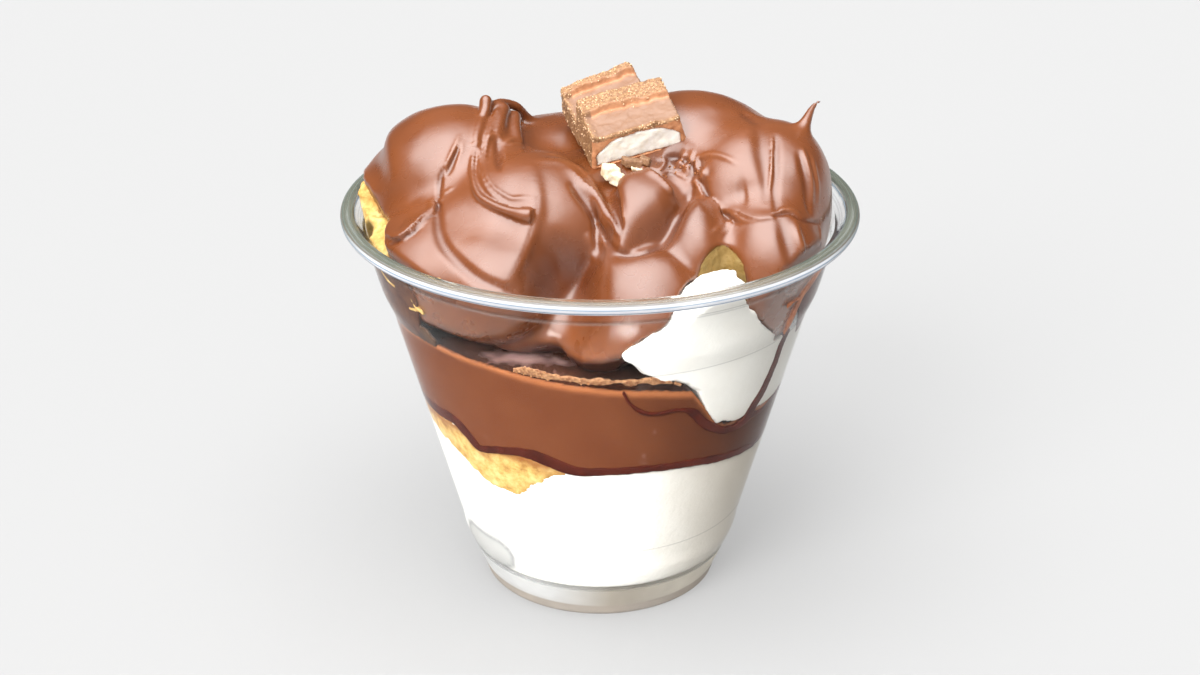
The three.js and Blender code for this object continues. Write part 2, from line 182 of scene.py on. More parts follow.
def surfaceOf(values, axes):
    # one corner in each cell that the surface crosses, and one square for each grid edge that it crosses
    inside = values < 0
    last = np.array(values.shape) - 1
    nx, ny, nz = last
    total = np.zeros((nx, ny, nz, 3), np.float32)
    hits = np.zeros((nx, ny, nz), np.float32)
    for axis in range(3):
        others = [a for a in range(3) if a != axis]
        for da in (0, 1):
            for db in (0, 1):
                start = [slice(0, -1)] * 3
                start[others[0]] = slice(da, values.shape[others[0]] - 1 + da)
                start[others[1]] = slice(db, values.shape[others[1]] - 1 + db)
                end = list(start)
                end[axis] = slice(1, None)
                v0, v1 = values[tuple(start)], values[tuple(end)]
                cross = (v0 < 0) != (v1 < 0)
                t = np.where(cross, v0 / np.where(cross, v0 - v1, 1), 0)
                total[..., axis] += np.where(cross, t, 0)
                total[..., others[0]] += np.where(cross, da, 0)
                total[..., others[1]] += np.where(cross, db, 0)
                hits += cross
    used = hits > 0
    number = np.full(used.shape, -1)
    number[used] = np.arange(used.sum())
    corners = np.argwhere(used) + total[used] / hits[used][:, None]
    corners = np.stack([np.interp(corners[:, i], np.arange(len(axes[i])), axes[i]) for i in range(3)], 1)
    faces = []
    for axis in range(3):
        b, c = (axis + 1) % 3, (axis + 2) % 3
        start = [slice(None)] * 3
        start[axis] = slice(0, -1)
        end = [slice(None)] * 3
        end[axis] = slice(1, None)
        flips = inside[tuple(start)] != inside[tuple(end)]
        at = np.argwhere(flips)
        at = at[(at[:, [b, c]] > 0).all(1) & (at[:, [b, c]] < last[[b, c]]).all(1)]
        outward = inside[tuple(at.T)]
        ring = []
        for ob, oc in ((-1, -1), (0, -1), (0, 0), (-1, 0)):
            cell = at.copy()
            cell[:, b] += ob
            cell[:, c] += oc
            ring.append(number[tuple(cell.T)])
        ring = np.stack(ring, 1)
        faces.append(np.where(outward[:, None], ring, ring[:, ::-1]))
    return corners, np.vstack(faces)


def settle(corners, field, times, e=0.05):
    # moves corners onto the surface along its slope
    for _ in range(times):
        d = field(corners)
        slope = np.stack([field(corners + off) - field(corners - off) for off in np.eye(3) * e], 1) / (2 * e)
        size = np.maximum((slope ** 2).sum(1), 0.25)
        corners = corners - np.clip(d / size, -0.3, 0.3)[:, None] * slope
    return corners


def meshPiece(name, corners, faces, material):
    mesh = bpy.data.meshes.new(name)
    mesh.from_pydata((np.asarray(corners) * mm).tolist(), [], [list(f) for f in faces])
    mesh.materials.append(material)
    mesh.shade_smooth()
    piece = bpy.data.objects.new(name, mesh)
    bpy.context.scene.collection.objects.link(piece)
    return piece


def fieldPiece(name, field, low, high, step, material, focus=(None, None, None), whole=True, coarse=4):
    axes = [gridLine(low[i], high[i], step, focus[i], coarse) for i in range(3)]
    corners, faces = surfaceOf(sampleField(field, axes, coarse), axes)
    corners = settle(corners, field, 2)
    piece = meshPiece(name, corners, faces.tolist(), material)
    if whole:
        keepLargest(piece)
    print(name, len(piece.data.polygons) * 2, "triangles")
    return piece


def keepLargest(piece):
    # drops loose scraps, so that the piece is one closed body
    mesh = bmesh.new()
    mesh.from_mesh(piece.data)
    mesh.verts.ensure_lookup_table()
    group = np.full(len(mesh.verts), -1)
    sizes = []
    for v in mesh.verts:
        if group[v.index] >= 0:
            continue
        number, size, todo = len(sizes), 0, [v]
        group[v.index] = number
        while todo:
            w = todo.pop()
            size += 1
            for edge in w.link_edges:
                o = edge.other_vert(w)
                if group[o.index] < 0:
                    group[o.index] = number
                    todo.append(o)
        sizes.append(size)
    if len(sizes) > 1:
        keep = int(np.argmax(sizes))
        bmesh.ops.delete(mesh, geom=[v for v in mesh.verts if group[v.index] != keep], context="VERTS")
        mesh.to_mesh(piece.data)
        piece.data.shade_smooth()
    mesh.free()


def pointValues(piece, name, values):
    attribute = piece.data.attributes.new(name, "FLOAT", "POINT")
    attribute.data.foreach_set("value", np.asarray(values, np.float32))


def cornersOf(piece):
    co = np.empty(len(piece.data.vertices) * 3)
    piece.data.vertices.foreach_get("co", co)
    return co.reshape(-1, 3) / mm


def addPiece(piece, slot, *nodes):
    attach(piece, "root")
    if nodes:
        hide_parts(*nodes)


# Loose grains, strewn over a piece by Geometry Nodes, densest where one of its attributes is highest

grainShape = {
    "turn": 6.28,
    "flatness": (1.0, 0.8, 0.65),
    "subdivisions": 1,
}


def grainTree():
    tree = bpy.data.node_groups.new("strewnGrains", "GeometryNodeTree")
    sockets = {}
    for name, kind in (("Geometry", "Geometry"), ("Density", "Float"), ("Smallest", "Float"),
                       ("Largest", "Float"), ("Seed", "Int"), ("Where", "String"), ("Finish", "Material")):
        sockets[name] = tree.interface.new_socket(name=name, in_out="INPUT", socket_type="NodeSocket" + kind)
    tree.interface.new_socket(name="Geometry", in_out="OUTPUT", socket_type="NodeSocketGeometry")
    given = tree.nodes.new("NodeGroupInput").outputs
    result = tree.nodes.new("NodeGroupOutput")

    def join(start, node, socket):
        tree.links.new(start, node.inputs[socket])
    where = tree.nodes.new("GeometryNodeInputNamedAttribute")
    where.data_type = "FLOAT"
    join(given["Where"], where, "Name")
    density = tree.nodes.new("ShaderNodeMath")
    density.operation = "MULTIPLY"
    join(where.outputs["Attribute"], density, 0)
    join(given["Density"], density, 1)
    points = tree.nodes.new("GeometryNodeDistributePointsOnFaces")
    join(given["Geometry"], points, "Mesh")
    join(density.outputs[0], points, "Density")
    join(given["Seed"], points, "Seed")
    size = tree.nodes.new("FunctionNodeRandomValue")
    size.data_type = "FLOAT"
    turn = tree.nodes.new("FunctionNodeRandomValue")
    turn.data_type = "FLOAT_VECTOR"
    turn.inputs["Max"].default_value = (grainShape["turn"],) * 3
    tree.links.new(given["Smallest"], [i for i in size.inputs if i.name == "Min" and i.enabled][0])
    tree.links.new(given["Largest"], [i for i in size.inputs if i.name == "Max" and i.enabled][0])
    join(given["Seed"], size, "Seed")
    join(given["Seed"], turn, "Seed")
    scale = tree.nodes.new("ShaderNodeVectorMath")
    scale.operation = "MULTIPLY"
    scale.inputs[1].default_value = grainShape["flatness"]
    tree.links.new([o for o in size.outputs if o.enabled][0], scale.inputs[0])
    pebble = tree.nodes.new("GeometryNodeMeshIcoSphere")
    pebble.inputs["Radius"].default_value = 1.0
    pebble.inputs["Subdivisions"].default_value = grainShape["subdivisions"]
    strewn = tree.nodes.new("GeometryNodeInstanceOnPoints")
    join(points.outputs["Points"], strewn, "Points")
    join(pebble.outputs["Mesh"], strewn, "Instance")
    join([o for o in turn.outputs if o.enabled][0], strewn, "Rotation")
    join(scale.outputs[0], strewn, "Scale")
    whole = tree.nodes.new("GeometryNodeRealizeInstances")
    join(strewn.outputs["Instances"], whole, "Geometry")
    finished = tree.nodes.new("GeometryNodeSetMaterial")
    join(whole.outputs["Geometry"], finished, "Geometry")
    join(given["Finish"], finished, "Material")
    join(finished.outputs["Geometry"], result, "Geometry")
    return tree, {name: socket.identifier for name, socket in sockets.items()}


strewnGrains, grainSockets = grainTree()


def addGrains(name, base, where, density, sizes, seed, finish, slot):
    # density is grains on a square millimetre, sizes are half widths in millimetres
    holder = bpy.data.objects.new(name + "Base", base.data.copy())
    bpy.context.scene.collection.objects.link(holder)
    modifier = holder.modifiers.new("grains", "NODES")
    modifier.node_group = strewnGrains
    for socket, value in (("Density", density * 1e6), ("Smallest", sizes[0] * mm),
                          ("Largest", sizes[1] * mm), ("Seed", seed), ("Where", where),
                          ("Finish", finishes[finish])):
        modifier[grainSockets[socket]] = value
    graph = bpy.context.evaluated_depsgraph_get()
    mesh = bpy.data.meshes.new_from_object(holder.evaluated_get(graph))
    holder.modifiers.remove(modifier)
    bpy.data.objects.remove(holder)
    mesh.name = name
    mesh.shade_smooth()
    piece = bpy.data.objects.new(name, mesh)
    bpy.context.scene.collection.objects.link(piece)
    print(name, len(mesh.polygons), "triangles")
    addPiece(piece, slot)


# Materials

def srgb(*colour):
    # a colour as the eye reads it, 0 to 255, turned into light
    return tuple(((c / 255 + 0.055) / 1.055) ** 2.4 if c > 10.3 else c / 255 / 12.92 for c in colour) + (1,)


class Finish:
    # a material with short ways to add and join its nodes
    def __init__(self, name):
        self.material = bpy.data.materials.new(name)
        self.material.use_nodes = True
        self.tree = self.material.node_tree
        self.shader = self.tree.nodes["Principled BSDF"]
        self.out = self.tree.nodes["Material Output"]
        self.place = self.node("ShaderNodeTexCoord").outputs["Object"]

    def node(self, kind, **inputs):
        made = self.tree.nodes.new(kind)
        for name, value in inputs.items():
            self.set(made.inputs[name.replace("_", " ")], value)
        return made

    def set(self, socket, value):
        if isinstance(value, bpy.types.NodeSocket):
            self.tree.links.new(value, socket)
        else:
            socket.default_value = value

    def look(self, **inputs):
        for name, value in inputs.items():
            self.set(self.shader.inputs[name.replace("_", " ")], value)

    def noise(self, size, detail=3, rough=0.5, distortion=0):
        made = self.node("ShaderNodeTexNoise", Vector=self.place, Scale=1 / (size * mm), Detail=detail,
                         Roughness=rough, Distortion=distortion)
        return made.outputs["Fac"]

    def cells(self, size, feature="F1"):
        made = self.node("ShaderNodeTexVoronoi", Vector=self.place, Scale=1 / (size * mm))
        made.feature = feature
        return made.outputs["Distance"]

    def ramp(self, fac, *stops):
        made = self.node("ShaderNodeValToRGB", Fac=fac)
        elements = made.color_ramp.elements
        while len(elements) < len(stops):
            elements.new(0.5)
        for element, (position, colour) in zip(elements, stops):
            element.position = position
            element.color = colour if isinstance(colour, tuple) else (colour, colour, colour, 1)
        return made.outputs["Color"]

    def mix(self, fac, a, b, blend="MIX"):
        made = self.tree.nodes.new("ShaderNodeMix")
        made.data_type = "RGBA"
        made.blend_type = blend
        self.set(made.inputs["Factor"], fac)
        self.set(made.inputs[6], a)
        self.set(made.inputs[7], b)
        return made.outputs[2]

    def maths(self, kind, a, b=0.0):
        made = self.tree.nodes.new("ShaderNodeMath")
        made.operation = kind
        self.set(made.inputs[0], a)
        self.set(made.inputs[1], b)
        return made.outputs[0]

    def between(self, value, low, high):
        # 0 at one height in millimetres and 1 at the other
        made = self.tree.nodes.new("ShaderNodeMapRange")
        made.inputs["From Min"].default_value = low * mm
        made.inputs["From Max"].default_value = high * mm
        self.set(made.inputs["Value"], value)
        return made.outputs[0]

    def side(self, axis):
        return self.node("ShaderNodeSeparateXYZ", Vector=self.place).outputs[axis]

    def attribute(self, name):
        made = self.tree.nodes.new("ShaderNodeAttribute")
        made.attribute_name = name
        return made.outputs["Fac"]

    def bump(self, height, depth, strength=1.0, after=None):
        made = self.node("ShaderNodeBump", Height=height, Distance=depth * mm, Strength=strength)
        if after is not None:
            self.set(made.inputs["Normal"], after)
        return made.outputs["Normal"]


plastic = {
    "bends": 1.13,
    "lipOutside": 45.0,  # mm from the axis
    "lipAbove": 70,
    "footBelow": 7.5,
    "edgeBelow": 2.5,
    "lineBlur": 0.1,
}


def clearPlastic():
    # clear wall, with the rolled lip and the thick foot slightly cloudy, and painted highlights and shade on
    # the lip, the foot and in thin lines round the wall
    f = Finish("clear_plastic")
    f.look(Base_Color=(0.97, 0.98, 0.975, 1), Roughness=0.03, IOR=plastic["bends"], Transmission_Weight=1.0)
    veil = f.node("ShaderNodeBsdfTransparent", Color=(0.97, 0.97, 0.97, 1))
    path = f.node("ShaderNodeLightPath")
    both = f.node("ShaderNodeMixShader", Fac=path.outputs["Is Shadow Ray"])
    f.set(both.inputs[1], f.shader.outputs[0])
    f.set(both.inputs[2], veil.outputs[0])
    x, y, z = f.node("ShaderNodeSeparateXYZ", Vector=f.place).outputs
    across = f.maths("ADD", f.maths("MULTIPLY", x, x), f.maths("MULTIPLY", y, y))
    lip = f.maths("MULTIPLY", f.maths("GREATER_THAN", across, (plastic["lipOutside"] * mm) ** 2),
                  f.maths("GREATER_THAN", z, plastic["lipAbove"] * mm))
    side = f.between(y, -44, -30)  # 0 at the front of the rim, 1 at its sides and back
    # painted highlight: a white band with bluish lines along the lower front of the lip
    lipHighlight = f.maths("MULTIPLY", f.maths("MULTIPLY", lip, f.between(z, 74.75, 74.5)), f.between(y, -6, -28))
    foot = f.between(z, plastic["footBelow"], plastic["footBelow"] - 1.1)
    edge = f.between(z, plastic["edgeBelow"], plastic["edgeBelow"] - 0.4)
    rings = f.node("ShaderNodeCombineXYZ", X=f.maths("POWER", across, 0.5), Y=z)
    rings = f.node("ShaderNodeTexNoise", Vector=rings.outputs[0], Scale=3600, Detail=2)
    rings = f.ramp(rings.outputs["Fac"], (0.42, 0.0), (0.6, 1.0))
    streaks = f.ramp(f.noise(11, 2, 0.5), (0.3, 0.7), (0.65, 1.0))
    cloudAndPaintedLight = f.maths("ADD", f.maths("MULTIPLY", rings, 0.22), 0.2)
    cloudAndPaintedLight = f.maths("MULTIPLY", lip, f.maths("ADD", f.maths("MULTIPLY", side, 0.3), cloudAndPaintedLight))
    cloudAndPaintedLight = f.maths("ADD", cloudAndPaintedLight, f.maths("MULTIPLY", lipHighlight, 0.4))
    cloudAndPaintedLight = f.maths("ADD", cloudAndPaintedLight, f.maths("MULTIPLY", foot, f.maths("MULTIPLY", streaks, 0.8)))
    # painted light and shade on the foot: a white highlight on the left, beige-grey in the middle, lighter
    # again on the right, and darker at the bottom edge
    footLightAndShade = f.mix(f.between(x, -9, 2), (0.9, 0.9, 0.89, 1), srgb(198, 189, 175))
    footLightAndShade = f.mix(f.between(x, 6, 15), footLightAndShade, srgb(236, 229, 215))
    footLightAndShade = f.mix(edge, footLightAndShade, srgb(197, 186, 174))
    # painted: beige at the lip's front, where the coat shows through it, and a darker grey-green painted
    # shade at its sides
    lipShadedTone = f.mix(side, srgb(160, 146, 128), srgb(110, 118, 108))
    tone = f.mix(foot, lipShadedTone, footLightAndShade)
    lipHighlightLines = f.mix(rings, (0.92, 0.92, 0.95, 1), (0.6, 0.62, 0.66, 1))
    tone = f.mix(lipHighlight, tone, lipHighlightLines)

    broken = f.maths("MULTIPLY", f.ramp(f.noise(2.5, 3), (0.38, 0.2), (0.6, 1.0)), 0.3)
    onRight = f.maths("MULTIPLY", f.between(x, -6, 14), 0.22)
    blur = plastic["lineBlur"]
    # Thin lines painted round the wall: highlights and shade along the rolled lip and just below it, and
    # grey lines at the wall's bends on the right only
    for low, high, colour, strength in (
            (73.98, 74.04, srgb(158, 176, 194), broken), (73.2, 73.3, srgb(140, 152, 166), 0.2),
            (74.72, 74.78, srgb(120, 112, 100), 0.3), (69.8, 69.95, srgb(60, 48, 46), 0.3),
            (69.35, 69.6, (0.4, 0.4, 0.4, 1), 0.22), (57.6, 57.75, srgb(120, 116, 108), onRight),
            (16.5, 16.65, srgb(120, 116, 108), onRight)):  # painted lines of highlight and shade round the wall
        line = f.maths("MULTIPLY", f.between(z, low - blur, low), f.between(z, high + blur, high))
        line = f.maths("MULTIPLY", line, strength)
        tone = f.mix(f.maths("GREATER_THAN", line, 0.02), tone, colour)
        cloudAndPaintedLight = f.maths("ADD", cloudAndPaintedLight, line)
    haze = f.node("ShaderNodeBsdfDiffuse", Color=tone)
    glow = f.node("ShaderNodeBsdfTranslucent", Color=tone)
    misty = f.node("ShaderNodeMixShader", Fac=0.3)
    f.set(misty.inputs[1], haze.outputs[0])
    f.set(misty.inputs[2], glow.outputs[0])
    whole = f.node("ShaderNodeMixShader", Fac=cloudAndPaintedLight)
    f.set(whole.inputs[1], both.outputs[0])
    f.set(whole.inputs[2], misty.outputs[0])
    f.set(f.out.inputs["Surface"], whole.outputs[0])
    return f.material


def pouredChocolate():
    f = Finish("poured_chocolate")
    tone = f.ramp(f.noise(14, 2), (0.35, srgb(105, 55, 25)), (0.65, srgb(116, 63, 31)))
    # painted light and shade on the coat: above zero a painted highlight on raised strokes, below zero
    # painted shade in grooves, cracks, hollows, the darkest spots and by the lower edge
    paintedLightAndShade = f.attribute("paintedLightAndShade")
    paintedHighlight = f.maths("MULTIPLY", f.maths("MAXIMUM", paintedLightAndShade, 0.0), 0.6)
    # below zero: painted shade, towards a near-black brown
    deep = f.maths("MULTIPLY", f.maths("MAXIMUM", f.maths("MULTIPLY", paintedLightAndShade, -1.0), 0.0), 0.9)
    tone = f.mix(paintedHighlight, tone, srgb(150, 94, 60))
    tone = f.mix(deep, tone, srgb(58, 20, 9))
    gloss = f.ramp(f.noise(5, 3), (0.3, 0.25), (0.7, 0.32))
    normal = f.bump(f.noise(3.5, 3, 0.5), 0.10, 0.5)
    normal = f.bump(f.noise(0.5, 2, 0.6), 0.02, 0.3, normal)
    f.look(Base_Color=tone, Roughness=gloss, Normal=normal, IOR=1.5)
    f.shader.inputs["Specular IOR Level"].default_value = 0.95
    return f.material


def hazelnutCream(name, rough, shine, shadeUnderHeap):
    # dull where it sticks to the wall, glossy where its top lies open; painted shade darkens its right side,
    # and the open-top copy all over
    f = Finish(name)
    tone = f.ramp(f.noise(9, 3), (0.3, srgb(106, 59, 37)), (0.7, srgb(114, 66, 42)))
    specks = f.ramp(f.cells(2.6), (0.04, 1.0), (0.08, 0.0))
    tone = f.mix(f.maths("MULTIPLY", specks, 0.25), tone, srgb(160, 112, 84))
    # painted shade: darker towards the right
    tone = f.mix(f.maths("MULTIPLY", f.between(f.side("X"), 4, 30), 0.75), tone, srgb(58, 29, 19))
    # painted shade: the open-top copy is darkened, as it lies under the heap
    tone = f.mix(shadeUnderHeap, tone, srgb(34, 22, 24))
    tone = f.mix(f.attribute("sheen"), tone, srgb(196, 156, 150))
    tone = f.mix(f.attribute("edge"), tone, srgb(156, 96, 60))
    f.look(Base_Color=tone, Roughness=rough, Normal=f.bump(f.noise(2.2, 3), 0.12, 0.5))
    f.shader.inputs["Specular IOR Level"].default_value = shine
    return f.material


def whiteCream():
    f = Finish("white_cream")
    tone = f.ramp(f.noise(6, 3), (0.3, srgb(242, 239, 232)), (0.7, srgb(248, 246, 240)))
    # painted shade: the cream darkens towards the right, on the lower layer and on the upper part alike
    low = f.between(f.side("Z"), 46, 40)
    creamRightShade = f.maths("MULTIPLY", f.between(f.side("X"), 3, 30), f.maths("MULTIPLY", low, 0.95))
    tone = f.mix(creamRightShade, tone, srgb(172, 160, 143))
    # high: painted shade on the upper right
    high = f.maths("MULTIPLY", f.maths("SUBTRACT", 1.0, low), 0.62)
    high = f.maths("MULTIPLY", f.between(f.side("X"), 12, 36), high)
    tone = f.mix(high, tone, srgb(172, 166, 156))
    tone = f.mix(f.attribute("shade"), tone, srgb(146, 146, 145))
    normal = f.bump(f.noise(1.2, 4, 0.6), 0.25, 0.5)
    f.look(Base_Color=tone, Roughness=0.6, Normal=normal)
    f.shader.inputs["Specular IOR Level"].default_value = 0.15
    return f.material


def bakedChoux():
    f = Finish("baked_choux")
    lumps = f.noise(2.6, 5, 0.62)
    tone = f.ramp(lumps, (0.28, srgb(156, 110, 46)), (0.48, srgb(204, 164, 92)), (0.68, srgb(226, 200, 134)))
    pores = f.ramp(f.cells(0.9), (0.0, 0.0), (0.25, 1.0))
    tone = f.mix(f.maths("MULTIPLY", f.maths("SUBTRACT", 1.0, pores), 0.3), tone, srgb(150, 96, 40))
    tone = f.mix(f.maths("MULTIPLY", f.attribute("shade"), 0.9), tone, srgb(108, 84, 38))
    tone = f.mix(f.attribute("stain"), tone, srgb(138, 72, 28))
    normal = f.bump(lumps, 0.6, 0.7)
    normal = f.bump(pores, 0.15, 0.5, normal)
    f.look(Base_Color=tone, Roughness=0.72, Normal=normal)
    return f.material


def thinLayer(name, low, high, size, rough):
    # a smear, from its darker colour to its lighter one
    f = Finish(name)
    lumps = f.noise(size, 4, 0.6)
    f.look(Base_Color=f.ramp(lumps, (0.35, low), (0.65, high)), Roughness=rough,
           Normal=f.bump(lumps, 0.15, 0.5))
    f.shader.inputs["Specular IOR Level"].default_value = 0.15
    return f.material


def barChocolate():
    f = Finish("bar_chocolate")
    crumbly = f.attribute("crumbly")
    smooth = f.ramp(f.noise(5, 3), (0.3, srgb(132, 98, 76)), (0.7, srgb(142, 108, 86)))
    dust = f.ramp(f.noise(0.6, 4, 0.7), (0.36, srgb(130, 92, 62)), (0.5, srgb(148, 108, 74)),
                  (0.68, srgb(182, 146, 104)))
    tone = f.mix(crumbly, smooth, dust)
    shell = f.ramp(f.noise(0.9, 3), (0.3, srgb(188, 126, 86)), (0.7, srgb(214, 154, 112)))
    # the cut attribute brings the shell colour to the cut face and, as painted shade, to the step below the
    # ridge
    tone = f.mix(f.attribute("cut"), tone, shell)
    normal = f.bump(f.noise(0.5, 4, 0.7), 0.22, crumbly)
    normal = f.bump(f.noise(2.5, 2), 0.05, 0.4, normal)
    f.look(Base_Color=tone, Roughness=0.48, Normal=normal)
    return f.material


finishes = {
    "clear": clearPlastic(), "coat": pouredChocolate(), "cream": whiteCream(),
    "hazelnut": hazelnutCream("hazelnut_cream", 0.5, 0.05, 0.0),
    "hazelnutTop": hazelnutCream("hazelnut_cream_open_shaded", 0.18, 0.9, 0.6),
    "choux": bakedChoux(), "bar": barChocolate(),
    "sauce": thinLayer("dark_sauce", srgb(62, 20, 12), srgb(84, 32, 20), 3, 0.5),
    "streak": thinLayer("thin_chocolate", srgb(150, 82, 46), srgb(190, 116, 70), 1.5, 0.4),
    "patch": thinLayer("chocolate_on_wall", srgb(64, 28, 20), srgb(92, 46, 34), 5, 0.4),
    "foam": thinLayer("hazelnut_foam", srgb(122, 76, 50), srgb(192, 146, 106), 0.7, 0.4),
    "bubbles": thinLayer("foam_bubbles", srgb(150, 98, 60), srgb(206, 158, 112), 0.6, 0.3),
    "haze": thinLayer("smeared_wall_and_shade", srgb(60, 42, 34), srgb(92, 68, 52), 3.5, 0.4),
    "smear": thinLayer("chocolate_smear_and_shade", srgb(70, 42, 34), srgb(98, 66, 50), 3, 0.4),
    "grains": thinLayer("chocolate_grains", srgb(178, 138, 106), srgb(222, 188, 152), 0.8, 0.6),
    "flakes": thinLayer("chocolate_flakes", srgb(104, 56, 30), srgb(168, 110, 70), 0.8, 0.4),
    "filling": thinLayer("bar_filling", srgb(248, 243, 228), srgb(255, 253, 246), 1.2, 0.75),
    "crumbs": thinLayer("white_crumbs", srgb(206, 184, 144), srgb(240, 230, 208), 1.6, 0.75),
}
print("materials made")


# The cup: a thin wall turned round the axis, with a raised floor and a lip rolled outwards

cupShape = {
    "wall": [(0, 22.3), (1.5, 22.6), (3.5, 23.4), (8.5, 25.6), (11, 26.6), (13.5, 27.0), (16, 27.7),
             (57, 38.9), (61, 40.7), (73, 43.9), (75.4, 44.8)],  # height, outer radius
    "thickness": 0.7,
    "floorTop": 7.6,
    "footRing": 1.1,
    "lipRadius": 1.32,
    "lipThickness": 0.5,
    "roundBends": 1.2,  # length over which a bend in the wall is softened
    "jointBelow": 0.6,  # the wall runs up into the lip this far below the middle of its roll
    "footFlat": 0.35,
    "footEdge": 0.3,
    "floorCorner": 0.4,
    "heights": 378,
    "segments": 192,
}
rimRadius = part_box("cup")[1].x / mm
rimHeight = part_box("cup")[1].z / mm
wallHeights = np.linspace(0, rimHeight, cupShape["heights"])
wallRadii = np.interp(wallHeights, *np.array(cupShape["wall"]).T)
span = int(cupShape["roundBends"] / wallHeights[1])
padded = np.pad(wallRadii, span, mode="reflect", reflect_type="odd")
wallRadii = np.convolve(padded, np.ones(2 * span + 1) / (2 * span + 1), mode="valid")


def innerRadius(z):
    # above the rim it opens out, so that what is heaped there can bulge
    return np.interp(z, wallHeights, wallRadii) - cupShape["thickness"] + 0.6 * np.maximum(0, z - rimHeight)


def turned(name, profile, segments, material):
    # a closed outline of radius and height, turned about Z
    angles = np.arange(segments) * 2 * np.pi / segments
    corners, ring = [], []
    for r, z in profile:
        if r < 1e-6:
            ring.append([len(corners)] * segments)
            corners.append((0, 0, z))
        else:
            ring.append(list(range(len(corners), len(corners) + segments)))
            corners += [(r * math.cos(a), r * math.sin(a), z) for a in angles]
    faces = []
    for lower, upper in zip(ring, ring[1:]):
        for i in range(segments):
            j = (i + 1) % segments
            face = list(dict.fromkeys([lower[i], lower[j], upper[j], upper[i]]))
            if len(face) > 2:
                faces.append(face)
    return meshPiece(name, corners, faces, material)


def makeCup():
    c = cupShape
    lipCentre = (rimRadius - c["lipRadius"], rimHeight - c["lipRadius"])
    thick, foot = c["thickness"], c["wall"][0][1]

    def arc(radius, start, end, steps):
        return [(lipCentre[0] + radius * math.cos(a), lipCentre[1] + radius * math.sin(a))
                for a in np.linspace(math.radians(start), math.radians(end), steps)]
    joint = lipCentre[1] - c["jointBelow"]
    up = [(r, z) for z, r in zip(wallHeights[4:-1:4], wallRadii[4:-1:4]) if z < joint]
    profile = [(0, c["floorTop"] - thick), (foot - c["footRing"], c["floorTop"] - thick),
               (foot - thick, c["footRing"]), (foot - c["footRing"], 0), (foot - c["footFlat"], 0),
               (foot, c["footEdge"])]
    profile += up
    profile += arc(c["lipRadius"] - c["lipThickness"], 180, -60, 20)
    profile += arc(c["lipRadius"], -60, 180, 28)
    profile += [(r - thick, z) for r, z in reversed(up) if z > c["floorTop"] + c["floorCorner"]]
    profile += [(float(innerRadius(c["floorTop"])) - c["floorCorner"], c["floorTop"]), (0, c["floorTop"])]
    return turned("cupWall", profile, c["segments"], finishes["clear"])


addPiece(makeCup(), "clear_plastic", "cup")
print("cup made")


# What fills the cup up to the heap

fillings = {
    "creamGrid": ((-36, -36, 6), (36, 36, 41), 0.75),  # lowest and highest corner, step
    "hazelnutGrid": ((-40, -40, 30), (40, 40, 60), 0.6),
    "intoWall": 0.15,  # so that no air shows between it and the plastic
    "hazelnutTop": [
        (-180, 58), (-160, 57.6), (-142, 58.3), (-120, 57.5), (-105, 56), (-90, 54.8), (-75, 53.6),
        (-64, 52.2), (-59, 48), (-53, 43), (-47, 41.2), (-40, 41.6), (-20, 42.5), (0, 44), (30, 48),
        (60, 52), (90, 55), (130, 57.5), (180, 58)],  # angle, height at the wall
    "hazelnutBottom": [
        (-180, 39), (-150, 39.5), (-140, 40), (-135, 38), (-130, 36.9), (-122, 38), (-115, 38.4),
        (-104, 36.6), (-97, 35.6), (-70, 35.7), (-57, 34.9), (-45, 33.8), (-31, 32.4), (-15, 32),
        (0, 33), (45, 35), (90, 37), (135, 38), (180, 39)],
    "hazelnutTopMiddle": 56,
    "hazelnutBottomMiddle": 38,
    "sheen": ((-14.4, -27.7, 57), (10, 3.6, 4), 1.5),  # where the open top shines: centre, reach, share
    "lowerBun": {
        "grid": ((-32, -36, 25), (4, -3, 41), 0.35),
        "outline": [  # angle, height round the bun's face on the wall
            (-166, 36.5), (-156, 35), (-149, 33.9), (-143, 32.9), (-139, 31.8), (-133, 29.3),
            (-127, 28.6), (-121, 28.3), (-116, 29.3), (-113, 31), (-110, 32.6), (-106, 34.2),
            (-101, 35.1), (-100, 37), (-110, 42), (-130, 43), (-166, 43)],
        "ragged": 0.5,
        "depth": 9,
    },
    "airPocket": [  # where the cream stands off the wall, shown only by painted shade on the cream
        (-154.4, 14.3), (-143.9, 14.3), (-134.6, 14.5), (-129.6, 13.3), (-127.5, 11.6), (-129.5, 8.9),
        (-137, 7), (-150, 7), (-165, 8), (-160, 13)],
}


def angleOf(p):
    return np.degrees(np.arctan2(p[:, 1], p[:, 0]))


def radiusOf(p):
    return np.hypot(p[:, 0], p[:, 1])


def layerHeight(p, atWall, middle):
    z = np.interp(angleOf(p), *np.array(atWall, float).T)
    share = np.clip(radiusOf(p) / innerRadius(z), 0, 1.02) ** 2
    return middle + (z - middle) * share


def hazelnutSurface(p):
    return layerHeight(p, fillings["hazelnutTop"], fillings["hazelnutTopMiddle"])


def hazelnutUnderside(p):
    return layerHeight(p, fillings["hazelnutBottom"], fillings["hazelnutBottomMiddle"])


def inCup(p, reach):
    return radiusOf(p) - innerRadius(p[:, 2]) - reach


def onWall(p):
    # the wall unrolled: how far round from the front, height, and nothing
    turn = np.radians((angleOf(p) + 90 + 180) % 360 - 180)
    return np.stack([turn * innerRadius(p[:, 2]), p[:, 2], np.zeros(len(p))], 1)


def unrolled(rows):
    rows = np.array(rows, float)
    across = np.radians(rows[:, 0] + 90) * innerRadius(rows[:, 1])
    return np.column_stack([across, rows[:, 1], np.zeros(len(rows)), rows[:, 2:]])


